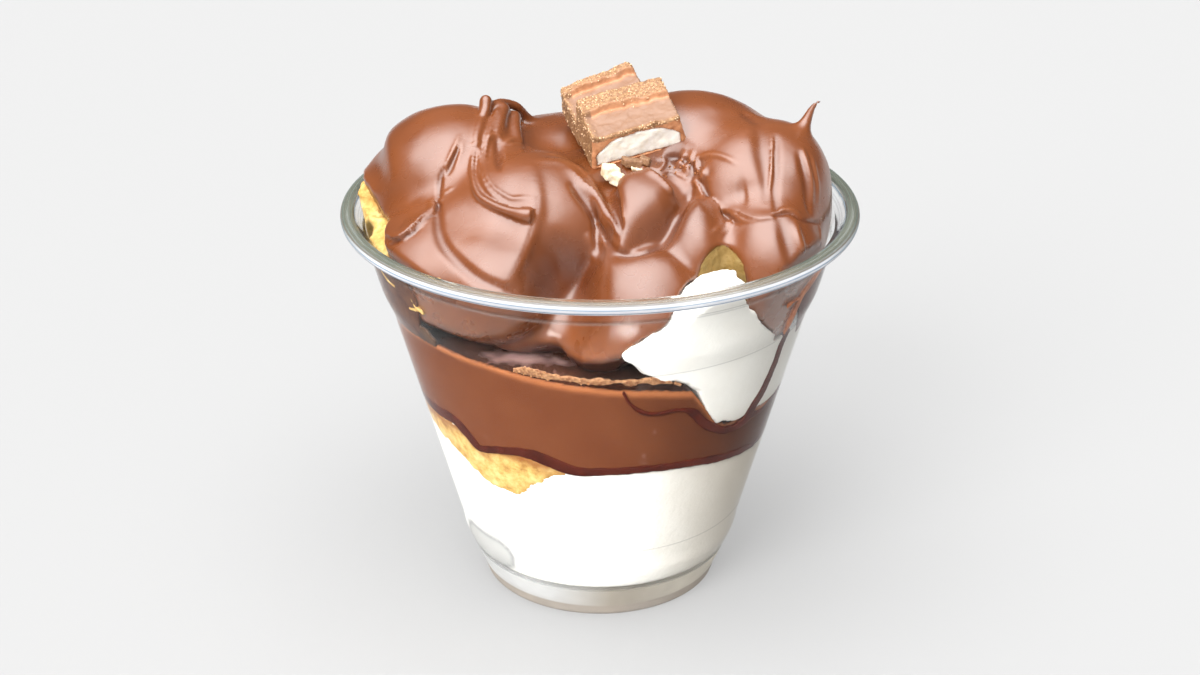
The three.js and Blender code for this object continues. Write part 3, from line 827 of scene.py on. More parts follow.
def toArea(q, outline):
    # signed distance to a closed outline in the plane, below zero inside
    away, inside = np.full(len(q), 1e3), np.zeros(len(q), bool)
    for a, b in zip(outline, np.roll(outline, -1, axis=0)):
        ab = b - a
        t = np.clip((q - a) @ ab / (ab @ ab), 0, 1)
        away = np.minimum(away, np.linalg.norm(q - a - t[:, None] * ab, axis=1))
        rising = (a[1] > q[:, 1]) != (b[1] > q[:, 1])
        inside ^= rising & (q[:, 0] < a[0] + (q[:, 1] - a[1]) * ab[0] / (ab[1] if ab[1] else 1e-9))
    return np.where(inside, -away, away)


def lowerBunField(p):
    bun = fillings["lowerBun"]
    d = toArea(onWall(p)[:, :2], unrolled(bun["outline"])[:, :2]) + bun["ragged"] * grain(p, 1.5, 5, 4)
    d = softMax(d, innerRadius(p[:, 2]) - bun["depth"] - radiusOf(p), 2)
    d = softMax(d, inCup(p, fillings["intoWall"] + 0.06), 0.2)
    return np.maximum(d, p[:, 2] - hazelnutUnderside(p))


def lowerCreamField(p):
    d = inCup(p, fillings["intoWall"])
    d = softMax(d, p[:, 2] - hazelnutUnderside(p) - 0.1, 0.1)
    return softMax(d, cupShape["floorTop"] - 0.15 - p[:, 2], 0.4)


def hazelnutField(p):
    top = hazelnutSurface(p)
    inner = np.clip(1 - radiusOf(p) / innerRadius(top), 0, 0.4) / 0.4
    top = top + inner * (1.2 * grain(p * [1, 1, 0], 9, 8, 2) - 0.6)
    d = softMax(inCup(p, fillings["intoWall"] + 0.03), p[:, 2] - top, 0.5)
    return softMax(d, hazelnutUnderside(p) - p[:, 2], 0.1)


def makeFillings():
    cream = fieldPiece("creamLower", lowerCreamField, *fillings["creamGrid"], finishes["cream"])
    p = cornersOf(cream)
    # painted shade where the air pocket lies, with a darker rim round it
    away = toArea(onWall(p)[:, :2], unrolled(fillings["airPocket"])[:, :2])
    rim = np.exp(-((away + 0.3) / 0.5) ** 2)
    pointValues(cream, "shade", np.clip(0.6 - 0.5 * away, 0, 0.72) + 0.25 * rim)
    addPiece(cream, "white_cream", "cream_lower")
    bun = fieldPiece("chouxLower", lowerBunField, *fillings["lowerBun"]["grid"], finishes["choux"])
    p = cornersOf(bun)
    below = np.interp(angleOf(p), *np.array(fillings["hazelnutBottom"], float).T) - p[:, 2]
    stain = np.clip(1 - (below - 0.6) / 1.8 + 0.5 * grain(p, 2.0, 6, 3), 0, 1) * 0.75
    pointValues(bun, "stain", stain)
    addPiece(bun, "baked_choux", "choux_lower")
    hazelnut = fieldPiece("hazelnutCream", hazelnutField, *fillings["hazelnutGrid"], finishes["hazelnut"])
    p = cornersOf(hazelnut)
    depth = np.interp(angleOf(p), *np.array(fillings["hazelnutTop"], float).T) - p[:, 2]
    byWall = radiusOf(p) > innerRadius(p[:, 2]) - 0.6
    pointValues(hazelnut, "edge", np.clip(1.4 - depth, 0, 1) * byWall)
    at, reach, share = fillings["sheen"]
    sheen = np.exp(-(((p - np.array(at)) / np.array(reach)) ** 2).sum(1)) + 0.4 * grain(p, 2.5, 14, 3)
    pointValues(hazelnut, "sheen", np.clip(sheen - 0.35, 0, 1) * share)
    # the open top takes the glossy copy, darkened all over with painted shade
    hazelnut.data.materials.append(finishes["hazelnutTop"])
    inside = radiusOf(p) < innerRadius(p[:, 2]) - 0.25
    for face in hazelnut.data.polygons:
        face.material_index = int(all(inside[i] for i in face.vertices))
    addPiece(hazelnut, "hazelnut_cream", "hazelnut_cream")


makeFillings()
print("fillings made")


# The heap of buns under poured chocolate

heap = {
    "grid": ((-46, -46, 40), (46, 46, 97), 0.43),  # lowest and highest corner, step
    "focus": ((-48, 48), (-48, 2), (64, 97)),  # where that step is kept; it widens away from here
    "masses": [  # centre, radii, how softly it blends into those before it
        ((-26.5, 4, 76), (17, 17, 15.2), 0),  # left dome
        ((-13, -9, 70.5), (19, 17.5, 16.5), 3),  # middle dome
        ((-5, 14, 74), (22, 17, 12), 3.5),  # back dome
        ((6, -3, 74), (15, 14, 12.5), 3),  # seat of the bar
        ((8.2, -21, 61), (13, 19, 15.3), 2.5),  # low front dome
        ((9.4, -12, 73.6), (8, 9.4, 9.6), 1.5),  # under the tongue
        ((17, 6, 78), (18, 16, 15.3), 3),  # high right dome
        ((26.6, -3, 73), (15.4, 18, 18), 3),  # right flank
        ((33.2, -3, 79.4), (8.4, 13, 10.8), 2.5),  # right shoulder
        ((17.2, -18.5, 71.5), (6.2, 10, 9.5), 1.8),  # left bank of the notch
        ((29.5, -18, 67.5), (11, 13, 14.5), 3.5),  # right front flank
        ((-26.5, -14, 69), (16, 18, 11), 3.5),  # left front flank
        ((-18.5, -21.5, 68.4), (12.5, 14.5, 10.4), 3),  # middle front flank
        ((-21, 22, 68), (20, 19, 11.5), 4),  # left back flank
        ((3, 27, 67.5), (20, 18, 12), 4),  # low back dome
        ((24, 17, 69), (18, 20, 14), 4),  # right back flank
        ((0, 0, 60), (32, 32, 12), 2),  # foot of the heap
    ],
    "folds": {  # flat-topped folds: the corners of each, from which its sides fall away
        "tongue": {"draft": 0.45, "edge": 2.0, "blend": 0.8, "bend": 2.6, "outline": [
            (3.1, -14.5, 85.6), (5.0, -12.8, 86.4), (8.0, -12.1, 86.8), (10.3, -13.2, 86.2),
            (11.6, -15.1, 85.3), (12.5, -17.0, 84.3), (11.9, -18.5, 83.6), (10.5, -20.3, 82.6),
            (8.4, -22.0, 81.8), (6.5, -23.4, 81.0), (4.9, -24.8, 80.3), (3.7, -26.0, 79.7),
            (3.2, -24.0, 80.7), (3.0, -20.7, 82.4), (2.7, -17.4, 84.1)]},
        "front": {"draft": 0.5, "edge": 4.5, "blend": 4.0, "bend": 3.2, "outline": [
            (1.1, -25.3, 76.8), (2.1, -27.0, 75.7), (4.9, -28.4, 74.7), (7.8, -28.4, 74.7),
            (10.4, -26.9, 75.8), (12.5, -26.3, 76.1), (15.2, -28.4, 74.7), (16.1, -30.8, 73.1),
            (15.3, -34.1, 70.9), (11.9, -36.2, 69.4), (6.8, -37.1, 68.9), (1.8, -36.7, 69.1),
            (-0.3, -34.8, 70.4), (-0.9, -31.4, 72.7), (-0.3, -28.0, 75.0)]},
        "bank": {"draft": 0.6, "edge": 2.4, "blend": 1.8, "bend": 2.4, "outline": [
            (16.6, -17.7, 83.8), (17.7, -17.9, 83.9), (18.5, -19.9, 82.4), (18.8, -21.8, 81.0),
            (18.2, -23.6, 79.5), (16.9, -25.7, 77.7), (15.5, -27.7, 75.9), (13.1, -27.7, 75.5),
            (11.3, -26.5, 76.2), (12.3, -24.8, 77.7), (14.3, -21.9, 80.2), (15.9, -19.6, 82.3)]},
        "arm": {"draft": 0.5, "edge": 0.8, "blend": 0.6, "bend": 0.8, "outline": [
            (-5.8, -9.9, 85.2), (-3.6, -10.5, 85.2), (-1.3, -13.5, 83.9), (0.8, -17.0, 82.1),
            (2.5, -20.6, 80.1), (3.7, -23.6, 78.5), (3.0, -24.0, 78.1), (1.3, -21.4, 79.3),
            (-0.4, -18.4, 80.9), (-2.2, -15.6, 82.3), (-4.5, -12.7, 83.6)]},
    },
    "notch": ((20.9, -31, 69.4), (4.3, 12, 7.6)),
    "hollows": [  # centre, radii, softness of the edge
        ((-6.2, -36.5, 74), (5, 11.5, 9.5), 4),  # pocket between the two front domes
    ],
    "lowerEdge": [  # angle, height where the coat ends at the wall
        (-215, 60), (-150, 62), (-138, 62.5), (-133, 62.6), (-128, 62.6), (-123, 62.8), (-118.5, 64.1),
        (-114, 65.6), (-110, 67.2), (-106.5, 67.9), (-103, 67.8), (-101, 66.4), (-100, 65.1), (-98, 64),
        (-94.7, 62.2), (-89.4, 61.6), (-85, 62.1), (-82.5, 63.3), (-77.4, 65.4), (-70, 65), (-60, 60),
        (-50, 57), (-40, 56), (0, 56), (100, 58), (145, 60)],
    "undercut": 1.0,
    "bareEdge": [  # angle, radius where the coat ends
        (-215, 44.5), (-195, 44.2), (-181, 42.2), (-172, 40.4), (-165, 39.8), (-158, 39.8), (-153, 42),
        (-149, 44.2), (-140, 46), (-100, 60)],
    "wallGap": 0.35,
    "thick": [  # where painted shade darkens the coat most: centre, reach, share
        ((-6, -25.5, 71.5), 6.5, 0.42), ((-2.5, -24.5, 71), 5, 0.35), ((-11, -31, 71.5), 4.5, 0.25),
        ((10.5, -24.5, 78), 4.5, 0.4), ((14, -20.5, 79.5), 3, 0.3)],
    "broken": [  # where the coat crumbled: centre, reach, height
        ((11, -9, 85), 2.2, 0.7), ((14.2, -8.4, 85.6), 2.2, 0.9), ((17, -9.8, 85.6), 2, 0.8),
        ((18.2, -12.2, 84.6), 1.5, 0.6)],
    "flakes": (1.6, (0.1, 0.3), 3),  # how dense, half widths, seed
}
spill = {
    "grid": ((-2, -44, 38), (46, 12, 77), 0.42),
    "masses": [((22, -33, 57), (13, 9, 16), 0), ((10, -38, 60), (6.5, 5, 4.5), 4),
               ((21.2, -33, 66.9), (3.8, 5, 5), 2), ((34, -14, 47), (12, 20, 10), 4)],
    "fluff": 0.4,
    "swell": 1.4,  # the lumps swell by this, then the outline on the wall trims them
    "outline": [  # on the wall: angle, height
        (-70, 70.8), (-75, 67.6), (-78, 65.6), (-81, 64.1), (-84, 62.3), (-82, 60.7), (-79, 58.4),
        (-75, 56.4), (-70, 55.6), (-65.5, 54.2), (-62, 52.1), (-60.3, 49.6), (-59.4, 47), (-56, 44.9),
        (-53, 43.6), (-49, 42.6), (-45, 42.2), (-40, 42.6), (-36, 43), (-28, 42.4), (-12, 42.8),
        (0, 44.5), (4, 49), (0, 56), (-10, 60), (-19, 57.8), (-28.7, 57.4), (-33, 57.8), (-36, 58.4),
        (-42.9, 61.4), (-47.4, 64.2), (-51, 66.9), (-53.8, 69.4), (-55.5, 72), (-55, 78), (-55, 88),
        (-68, 88), (-68, 76)],
}
buns = {
    "leftGrid": ((-47, -28, 55), (-10, 20, 88), 0.4),
    "rightGrid": ((9, -33, 54), (32, -8, 79), 0.35),
    "left": [((-29, 2, 74), (17.2, 15.5, 13), 0), ((-33.5, -12, 68.5), (10, 13, 7.5), 3)],
    "leftBite": ((-44, -12.5, 71.6), (2.6, 6.5, 3.4), -25),  # centre, radii, turn
    "right": ((20.5, -20.5, 67.4), (9.5, 11, 10.5)),
}
spillOutline = unrolled(spill["outline"])[:, :2]


def toFold(p, fold):
    # a slab under the plane through its corners, with sides that lean outwards
    corners = np.array(fold["outline"], float)
    middle = corners.mean(0)
    across, along, fall = np.linalg.svd(corners - middle)[2]
    fall = fall * np.sign(fall[2])
    top = middle[2] - ((p[:, :2] - middle[:2]) @ fall[:2]) / fall[2]
    spread = ((corners[:, :2] - middle[:2]) ** 2).sum(1).max()
    top = top - fold["bend"] * (((p[:, :2] - middle[:2]) ** 2).sum(1) / spread - 0.4)
    side = toArea(p[:, :2], corners[:, :2]) - fold["draft"] * np.clip(top - p[:, 2], 0, 12)
    return softMax(side * 0.87, (p[:, 2] - top) * fall[2], fold["edge"])


def moundField(p):
    d = toMasses(p, heap["masses"])
    for fold in heap["folds"].values():
        d = softMin(d, toFold(p, fold), fold["blend"])
    for at, radii, blend in heap["hollows"]:
        d = softMax(d, -toEllipsoid(p, at, radii), blend)
    return d


def clearOfBareStrip(p):
    angle = angleOf(p)
    angle = np.where(angle > 100, angle - 360, angle)
    edge = np.interp(angle, *np.array(heap["bareEdge"], float).T, right=80)
    return edge + 0.35 * np.clip(p[:, 2] - 76, -2, 20) - radiusOf(p)


def aboveHazelnut(p):
    return hazelnutSurface(p) - p[:, 2]


def spillField(p, fluffy=True):
    d = toMasses(p, spill["masses"]) - spill["swell"]
    face = toArea(onWall(p)[:, :2], spillOutline) - 0.2 * np.maximum(innerRadius(p[:, 2]) - radiusOf(p), 0)
    d = softMax(d, face, 0.3)
    if fluffy:
        d = d + spill["fluff"] * grain(p, 2.2, 21, 4)
    d = softMax(d, inCup(p, fillings["intoWall"]), 0.3)
    return softMax(d, aboveHazelnut(p) - 0.3, 0.4)


def leftBunField(p):
    under = np.clip(0.4 + 0.8 * clearOfBareStrip(p), -1.6, 1.5)
    d = softMax(toMasses(p, buns["left"]), moundField(p) + under, 0.5)
    d = softMax(d, -toEllipsoid(p, *buns["leftBite"]), 0.6)
    d = d + 0.45 * grain(p, 2.8, 31, 4) + 0.2
    return softMax(softMax(d, inCup(p, 0.0), 0.5), aboveHazelnut(p), 0.3)


def rightBunField(p):
    d = softMax(toEllipsoid(p, *buns["right"]), moundField(p) + 0.5, 0.5) + 0.35 * grain(p, 2.4, 37, 4)
    return softMax(softMax(d, inCup(p, -0.3), 0.5), aboveHazelnut(p), 0.3)


# Cords of chocolate that were still setting when they fell. Each row is a point and a radius
cords = {
    "crest": {"blend": 2.5, "path": [
        (-20.8, 5.2, 92.2, 0.9), (-19.7, 7, 91, 0.8), (-18.3, 9, 90.7, 0.9), (-16.6, 11, 89.8, 0.9),
        (-15.1, 12, 88.8, 0.8), (-13.7, 13.5, 86.7, 0.7), (-12.7, 15, 84.7, 0.6)]},
    "bandOne": {"blend": 1, "path": [(-17.9, 7, 90, 1.5), (-18.4, 3, 89, 1.5), (-18.9, -0.5, 88, 1.3)]},
    "bandTwo": {"blend": 1, "path": [(-15.8, 8, 88.3, 1.3), (-15.6, 4, 87.3, 1.3), (-15.2, 1, 86.3, 1.2)]},
    "stub": {"blend": 0.5, "path": [
        (-20.8, 5.2, 92.4, 1.1), (-20.9, 4, 91.1, 1.15), (-21.5, 2, 89.8, 1.05), (-21.8, -0.6, 89.4, 0.95),
        (-22.1, -3.7, 88.6, 0.7), (-22.2, -5.8, 87.6, 0.55)]},
    "outer": {"blend": 0.25, "path": [
        (-22.3, -5.2, 87.6, 0.45), (-22.6, -8.7, 86, 0.5), (-22.6, -11, 84.9, 0.5), (-22.1, -15, 83.8, 0.55),
        (-21, -18, 82.8, 0.65), (-19.5, -19.7, 82.3, 0.7), (-17.7, -21.1, 81.9, 0.75),
        (-15.8, -22.3, 81.6, 0.8), (-13.7, -23.2, 81.4, 0.85), (-12.6, -23.3, 81.3, 0.8)]},
    "second": {"blend": 0.35, "path": [
        (-21.5, -6.6, 87.1, 0.3), (-21.1, -10.2, 85.6, 0.35), (-20.6, -14.3, 84.7, 0.35),
        (-19.6, -17.3, 83.8, 0.35), (-18.1, -19.3, 83, 0.3), (-16.7, -20.5, 82.5, 0.15)]},
    "third": {"blend": 0.4, "path": [
        (-18.8, 4.5, 90.6, 0.5), (-19.4, 1.6, 89.6, 0.5), (-20, -2.8, 88.6, 0.5), (-20.4, -6.4, 87, 0.4),
        (-20.4, -10.4, 85.7, 0.35), (-19.7, -14.8, 84.9, 0.35), (-18.5, -17.3, 84.1, 0.35),
        (-17.1, -18.8, 83.6, 0.35), (-15.3, -20, 83.1, 0.35), (-13.6, -20.2, 83.1, 0.3),
        (-12, -20.3, 82.9, 0.1)]},
    "curl": {"blend": 1.5, "path": [
        (34.6, -3, 86.6, 3), (36.1, -1.6, 88.9, 1.7), (37.1, -0.6, 90.6, 1.0), (37.9, 0, 92.2, 0.62),
        (38.6, 0.2, 93.3, 0.36), (39.3, 0.3, 93.9, 0.24), (39.6, 0.3, 93.6, 0.16)]},
}
cordPaths = [(smoothPath(cord["path"], 4 * len(cord["path"])), cord["blend"]) for cord in cords.values()]

# Where the chocolate folded, dragged and cracked as it was poured. Each row is a point near the surface, a
# half width, and how far the coat stands out there, or sinks where that is below zero
strokes = {
    "shoulderLeft": [
        (-39.5, 12, 83.6, 2.4, -0.8), (-41.3, 6, 83.6, 2.6, -1.8), (-41.4, 0, 83.2, 2.6, -1.8),
        (-40, -6, 82, 2.4, -0.8)],
    "cornerLeft": [
        (-43.6, 7, 77.6, 2, 0.4), (-43.9, 2, 77.8, 2, 1.2), (-43.2, -4, 77.4, 2, 0.6)],
    "crackLeft": [
        (-25.1, -4.1, 89.3, 0.3, 0), (-25.7, -6.4, 88.0, 0.45, 0.5), (-26.5, -8.5, 86.4, 0.5, 0.7),
        (-27.2, -9.7, 84.9, 0.45, 0.5), (-27.5, -10.8, 83.6, 0.3, 0)],
    "crackLeftGap": [
        (-25.0, -6.3, 88.0, 0.3, 0), (-25.5, -7.7, 87.0, 0.5, -0.9), (-26.3, -9.1, 85.7, 0.55, -1.1),
        (-27.0, -10.2, 84.5, 0.5, -0.9), (-27.3, -10.9, 83.7, 0.3, 0)],
    "crackLeftLip": [
        (-24.4, -5.1, 88.7, 0.3, 0), (-24.8, -7.1, 87.4, 0.35, 0.35), (-25.3, -8.7, 86.1, 0.35, 0.35),
        (-25.9, -10.3, 84.6, 0.3, 0)],
    "crackLower": [
        (-27.7, -9.7, 84.9, 0.25, -0.2), (-28.2, -10.8, 83.5, 0.35, -0.9),
        (-28.4, -12.1, 82.0, 0.35, -0.9), (-28.3, -14.1, 81.0, 0.3, -0.6)],
    "valleyCentre": [
        (-28.5, -15.9, 80.3, 0.5, -0.3), (-28.3, -19.2, 79.6, 0.7, -0.7),
        (-27.9, -23.1, 78.5, 0.8, -0.9), (-26.7, -26.7, 77.2, 0.9, -1), (-24.8, -29.5, 76.0, 0.9, -1),
        (-22.5, -32.0, 74.8, 0.9, -1), (-19.9, -33.9, 73.7, 0.9, -0.9), (-17.2, -34.6, 72.8, 0.9, -0.6),
        (-14.8, -34.5, 71.8, 0.8, -0.2)],
    "foldLeft": [
        (-36.5, -22.9, 75.6, 0.3, -0.2), (-34.2, -23.2, 76.9, 0.4, -0.6),
        (-32.3, -22.7, 77.8, 0.4, -0.6), (-31.0, -20.5, 78.8, 0.4, -0.5), (-29.4, -18.9, 79.4, 0.3, -0.2)],
    "foldLeftLip": [
        (-36.1, -21.5, 76.5, 0.5, 0), (-34.2, -22.2, 77.2, 0.6, 0.5), (-32.7, -21.8, 78.0, 0.5, 0.4),
        (-31.8, -20.0, 78.7, 0.4, 0)],
    "shortWrinkle": [
        (-23.4, -6.3, 87.8, 0.25, 0), (-22.6, -5.9, 87.9, 0.3, 0.3), (-21.7, -5.2, 88.0, 0.35, 0.4)],
    "bandEnd": [
        (-20.3, -3.2, 88.6, 0.3, 0.2), (-19.8, -3.2, 88.4, 0.35, 0.6), (-19.1, -2.3, 88.5, 0.35, 0.6),
        (-18.4, -1.9, 88.3, 0.35, 0.6), (-17.9, -2.2, 87.9, 0.3, 0.2)],
    "bandGap": [
        (-18.4, -3.4, 87.7, 0.5, -0.5), (-18.1, -5.9, 86.9, 0.6, -1.1), (-18.0, -9.7, 86.4, 0.6, -0.9),
        (-17.6, -14.1, 85.8, 0.4, 0)],
    "bandTwoEnd": [
        (-17.1, -3.2, 87.3, 0.3, 0.2), (-16.3, -1.6, 87.3, 0.35, 0.55), (-15.3, -0.1, 86.9, 0.35, 0.55),
        (-14.4, 0.3, 86.4, 0.3, 0.2)],
    "bandTwoEndLow": [
        (-16.4, -3.4, 87.0, 0.25, 0.1), (-15.4, -2.2, 86.8, 0.3, 0.4), (-14.2, -0.9, 86.3, 0.3, 0.2)],
    "bandTwoEdge": [
        (-14.2, 6.3, 86.4, 0.45, -0.8), (-13.5, 0.2, 85.9, 0.4, -0.5), (-12.9, -6.8, 86.9, 0.3, 0)],
    "crease": [
        (-10.4, -6.1, 86.6, 0.22, 0), (-8.8, -6.7, 86.5, 0.25, 0.2), (-6.7, -6.8, 85.9, 0.25, 0.2),
        (-4.0, -8.6, 85.1, 0.22, 0)],
    "topEdge": [
        (-11.4, -10.9, 86.9, 1.4, 0.1), (-8.4, -10.3, 86.5, 1.5, 0.4), (-5.6, -9.7, 85.7, 1.5, 0.5),
        (-3.1, -10.7, 84.5, 1.4, 0.4), (-1.0, -12.6, 83.2, 1.2, 0.2)],
    "vArmLower": [
        (-4.6, -15.8, 83.9, 0.9, -0.4), (-3.2, -17.1, 82.5, 1, -1), (-1.7, -18.2, 80.5, 1, -1),
        (-0.3, -19.2, 78.1, 1, -1), (1.0, -22.6, 76.5, 0.9, -0.5)],
    "vArmEdge": [
        (-4.1, -17.6, 82.7, 0.25, 0), (-2.7, -18.3, 81.3, 0.3, 0.35), (-1.1, -19.1, 79.2, 0.3, 0.4),
        (-0.1, -19.6, 77.5, 0.3, 0.4), (0.6, -22.4, 76.0, 0.3, 0.35), (1.5, -25.4, 75.1, 0.25, 0)],
    "vArmCut": [
        (0.3, -17.2, 79.7, 0.22, 0), (1.0, -16.8, 80.5, 0.25, -0.4), (1.7, -17.7, 81.4, 0.22, 0)],
    "vInside": [
        (1.2, -10.7, 83.8, 1, -0.6), (2.0, -15.3, 82.9, 1.3, -1.6), (2.7, -20.0, 81.7, 1.2, -1.6),
        (3.2, -23.4, 80.1, 0.8, -1.2), (3.5, -25.5, 78.9, 0.5, -0.4)],
    "vEdge": [
        (2.9, -15.7, 84.2, 0.3, 0.2), (3.7, -18.8, 83.0, 0.35, 0.6), (3.9, -21.9, 81.4, 0.35, 0.6),
        (3.7, -24.5, 79.8, 0.35, 0.4), (3.5, -25.6, 78.8, 0.3, 0)],
    "tongueFold": [
        (7.7, -9.2, 85.1, 0.4, 0.1), (8.9, -13.6, 85.6, 0.5, 0.6), (10.2, -15.1, 84.9, 0.5, 0.8),
        (11.6, -16.6, 84.1, 0.5, 0.7), (12.8, -17.7, 83.4, 0.5, 0.2)],
    "facetEdge": [
        (11.1, -10.2, 84.0, 0.25, 0.1), (12.0, -9.5, 84.3, 0.3, 0.45), (13.0, -9.4, 84.2, 0.3, 0.45),
        (14.3, -10.2, 83.6, 0.3, 0.45), (15.7, -11.3, 83.3, 0.25, 0.1)],
    "streakFront": [
        (-2.3, -21.4, 77.6, 0.7, 0), (-1.8, -21.8, 76.1, 0.8, 0.6), (-1.3, -22.3, 74.2, 0.8, 0.6),
        (-0.3, -24.4, 72.9, 0.7, 0)],
    "crackFront1": [
        (8.4, -31.8, 73.6, 0.2, 0), (9.4, -33.1, 72.7, 0.25, -0.5), (10.2, -34.1, 71.8, 0.25, -0.5),
        (10.9, -34.8, 71.0, 0.2, -0.2)],
    "crackFront2": [
        (10.9, -26.6, 75.3, 0.22, 0), (12.3, -27.5, 74.6, 0.28, 0.4), (13.6, -28.6, 73.5, 0.28, 0.5),
        (14.8, -29.0, 72.6, 0.28, 0.5), (15.8, -29.9, 71.1, 0.22, 0)],
    "crackFront3": [
        (10.6, -27.2, 75.2, 0.2, 0), (11.9, -28.5, 74.4, 0.25, -0.4), (13.3, -29.5, 73.3, 0.25, -0.4),
        (14.5, -30.0, 72.3, 0.25, -0.4), (15.5, -30.8, 70.9, 0.2, 0)],
    "crackFront4": [
        (11.5, -31.4, 73.2, 0.2, 0), (12.5, -32.4, 72.2, 0.25, 0.35), (13.7, -32.7, 71.2, 0.25, 0.4),
        (15.1, -32.1, 70.4, 0.2, 0)],
    "crackFront5": [
        (7.1, -31.3, 73.8, 0.2, 0), (8.2, -32.5, 73.2, 0.25, 0.3), (8.9, -34.2, 72.0, 0.22, 0)],
    "crumble1": [
        (14.9, -7.1, 86.8, 0.4, 0.2), (14.3, -8.1, 85.7, 0.5, 0.9), (13.6, -9.0, 84.6, 0.4, 0.3)],
    "crumble2": [
        (16.3, -7.8, 86.9, 0.4, 0.3), (15.9, -9.0, 85.6, 0.5, 1), (15.2, -9.9, 84.3, 0.4, 0.3)],
    "crumble3": [
        (17.3, -8.9, 86.5, 0.4, 0.3), (16.9, -10.3, 85.2, 0.5, 0.9), (16.0, -11.3, 83.6, 0.4, 0.2)],
    "crumbleGap": [
        (12.2, -7.3, 86.1, 0.5, -0.3), (13.3, -7.5, 86.0, 0.6, -1), (15.2, -8.4, 85.8, 0.5, -0.7),
        (16.5, -10.4, 84.8, 0.5, -1), (16.0, -11.4, 83.5, 0.5, -0.6)],
    "crumbleLump": [
        (17.6, -10.9, 85.4, 0.5, 0.3), (18.1, -12.3, 84.8, 0.6, 0.9), (17.7, -12.9, 83.9, 0.5, 0.3)],
    "seamRight": [
        (16.3, -11.5, 83.7, 0.3, 0.1), (17.3, -13.5, 82.8, 0.35, 0.6), (18.3, -15.7, 81.6, 0.35, 0.6),
        (19.5, -17.0, 81.1, 0.35, 0.5), (21.4, -18.4, 80.6, 0.35, 0.6), (23.2, -20.0, 80.3, 0.35, 0.5),
        (24.6, -22.1, 79.8, 0.3, 0.3), (26.5, -23.4, 80.1, 0.25, 0.2), (28.7, -23.6, 80.6, 0.2, 0)],
    "seamGap": [
        (17.2, -12.3, 83.8, 0.3, -0.3), (18.0, -13.9, 83.3, 0.5, -1), (18.7, -15.3, 82.3, 0.45, -0.9),
        (19.3, -16.3, 81.8, 0.3, -0.2)],
    "seamLow": [
        (20.3, -19.0, 80.0, 0.4, -0.2), (21.7, -19.3, 80.0, 0.8, -0.8), (23.0, -20.9, 79.5, 0.6, -0.5),
        (24.0, -22.3, 79.3, 0.4, -0.1)],
    "plateauEdge": [
        (18.0, -9.4, 86.7, 0.5, 0.3), (19.0, -9.5, 87.3, 0.5, 0.5), (20.7, -10.7, 87.7, 0.5, 0.5),
        (22.6, -12.4, 87.6, 0.5, 0.4), (24.6, -14.1, 86.9, 0.5, 0)],
    "plateauLeft": [
        (17.6, -9.5, 86.3, 0.6, -0.6), (17.9, -11.8, 85.0, 0.5, -0.6), (18.7, -14.4, 83.5, 0.4, -0.2)],
    "plateauDent": [
        (23.6, -17.5, 83.2, 2, -0.3), (24.8, -17.6, 83.4, 2.2, -0.7), (25.8, -17.7, 83.6, 2, -0.3)],
    "lineOne": [
        (30.4, -6.9, 90.3, 0.25, 0), (30.3, -11.0, 88.8, 0.3, 0.4), (30.0, -14.2, 86.6, 0.35, 0.5),
        (29.7, -16.2, 84.7, 0.35, 0.5), (29.2, -19.3, 82.6, 0.3, 0)],
    "lineOneLeft": [
        (28.2, -2.2, 90.9, 1.4, -0.2), (28.4, -10.1, 89.4, 1.5, -0.7), (28.8, -14.0, 87.1, 1.4, -0.8),
        (29.0, -16.8, 84.4, 1, -0.5), (28.7, -20.3, 82.1, 0.8, 0)],
    "lineOneRight": [
        (31.3, -6.5, 90.3, 0.5, 0), (30.9, -11.3, 88.5, 0.6, -0.5), (30.7, -15.1, 85.6, 0.6, -0.6),
        (30.4, -17.8, 83.3, 0.6, -0.5), (30.5, -21.3, 81.5, 0.5, -0.3)],
    "lineTwo": [
        (35.8, -8.6, 88.6, 0.35, 0), (36.1, -10.6, 87.5, 0.45, 0.6), (36.7, -12.4, 85.6, 0.45, 0.7),
        (37.2, -13.8, 83.3, 0.4, 0.5), (37.3, -15.4, 80.1, 0.3, 0)],
    "lineTwoLeft": [
        (34.8, -10.0, 88.4, 0.6, 0), (35.6, -12.8, 86.1, 0.7, -0.5), (36.2, -14.7, 83.1, 0.7, -0.5),
        (36.5, -17.0, 79.8, 0.6, -0.3)],
    "lineThree": [
        (37.3, -8.8, 87.6, 0.3, 0), (37.9, -11.2, 85.5, 0.35, 0.4), (38.4, -12.8, 82.7, 0.35, 0.4),
        (38.6, -14.1, 79.1, 0.3, 0)],
    "crackRight": [
        (29.9, -22.8, 81.0, 0.25, -0.3), (31.0, -22.2, 81.1, 0.35, -0.9), (32.8, -21.2, 80.9, 0.3, -0.8),
        (34.0, -21.3, 80.2, 0.3, -0.8), (35.7, -20.6, 79.2, 0.3, -0.8), (38.7, -15.6, 76.8, 0.25, -0.4)],
    "crackRightLip": [
        (30.3, -22.1, 81.3, 0.3, 0.1), (31.4, -21.1, 81.4, 0.35, 0.5), (33.0, -20.3, 81.1, 0.35, 0.5),
        (34.5, -19.9, 80.4, 0.3, 0.2)],
    "crackRightEnd": [
        (38.5, -16.3, 76.9, 0.25, 0.1), (38.7, -18.0, 75.7, 0.28, 0.4), (38.3, -22.2, 74.8, 0.25, 0.1)],
    "streakRight": [
        (33.8, -22.4, 79.9, 0.7, 0.1), (34.0, -24.6, 78.5, 0.9, 0.6), (34.6, -26.0, 76.7, 0.8, 0.6),
        (35.5, -26.6, 74.9, 0.5, 0)],
    "streakGap": [
        (31.2, -23.8, 80.3, 1, -0.3), (31.8, -26.0, 78.6, 1.2, -0.7), (32.4, -27.7, 76.3, 1.2, -0.7),
        (33.0, -29.0, 73.9, 1, -0.4)],
    "apexRight": [
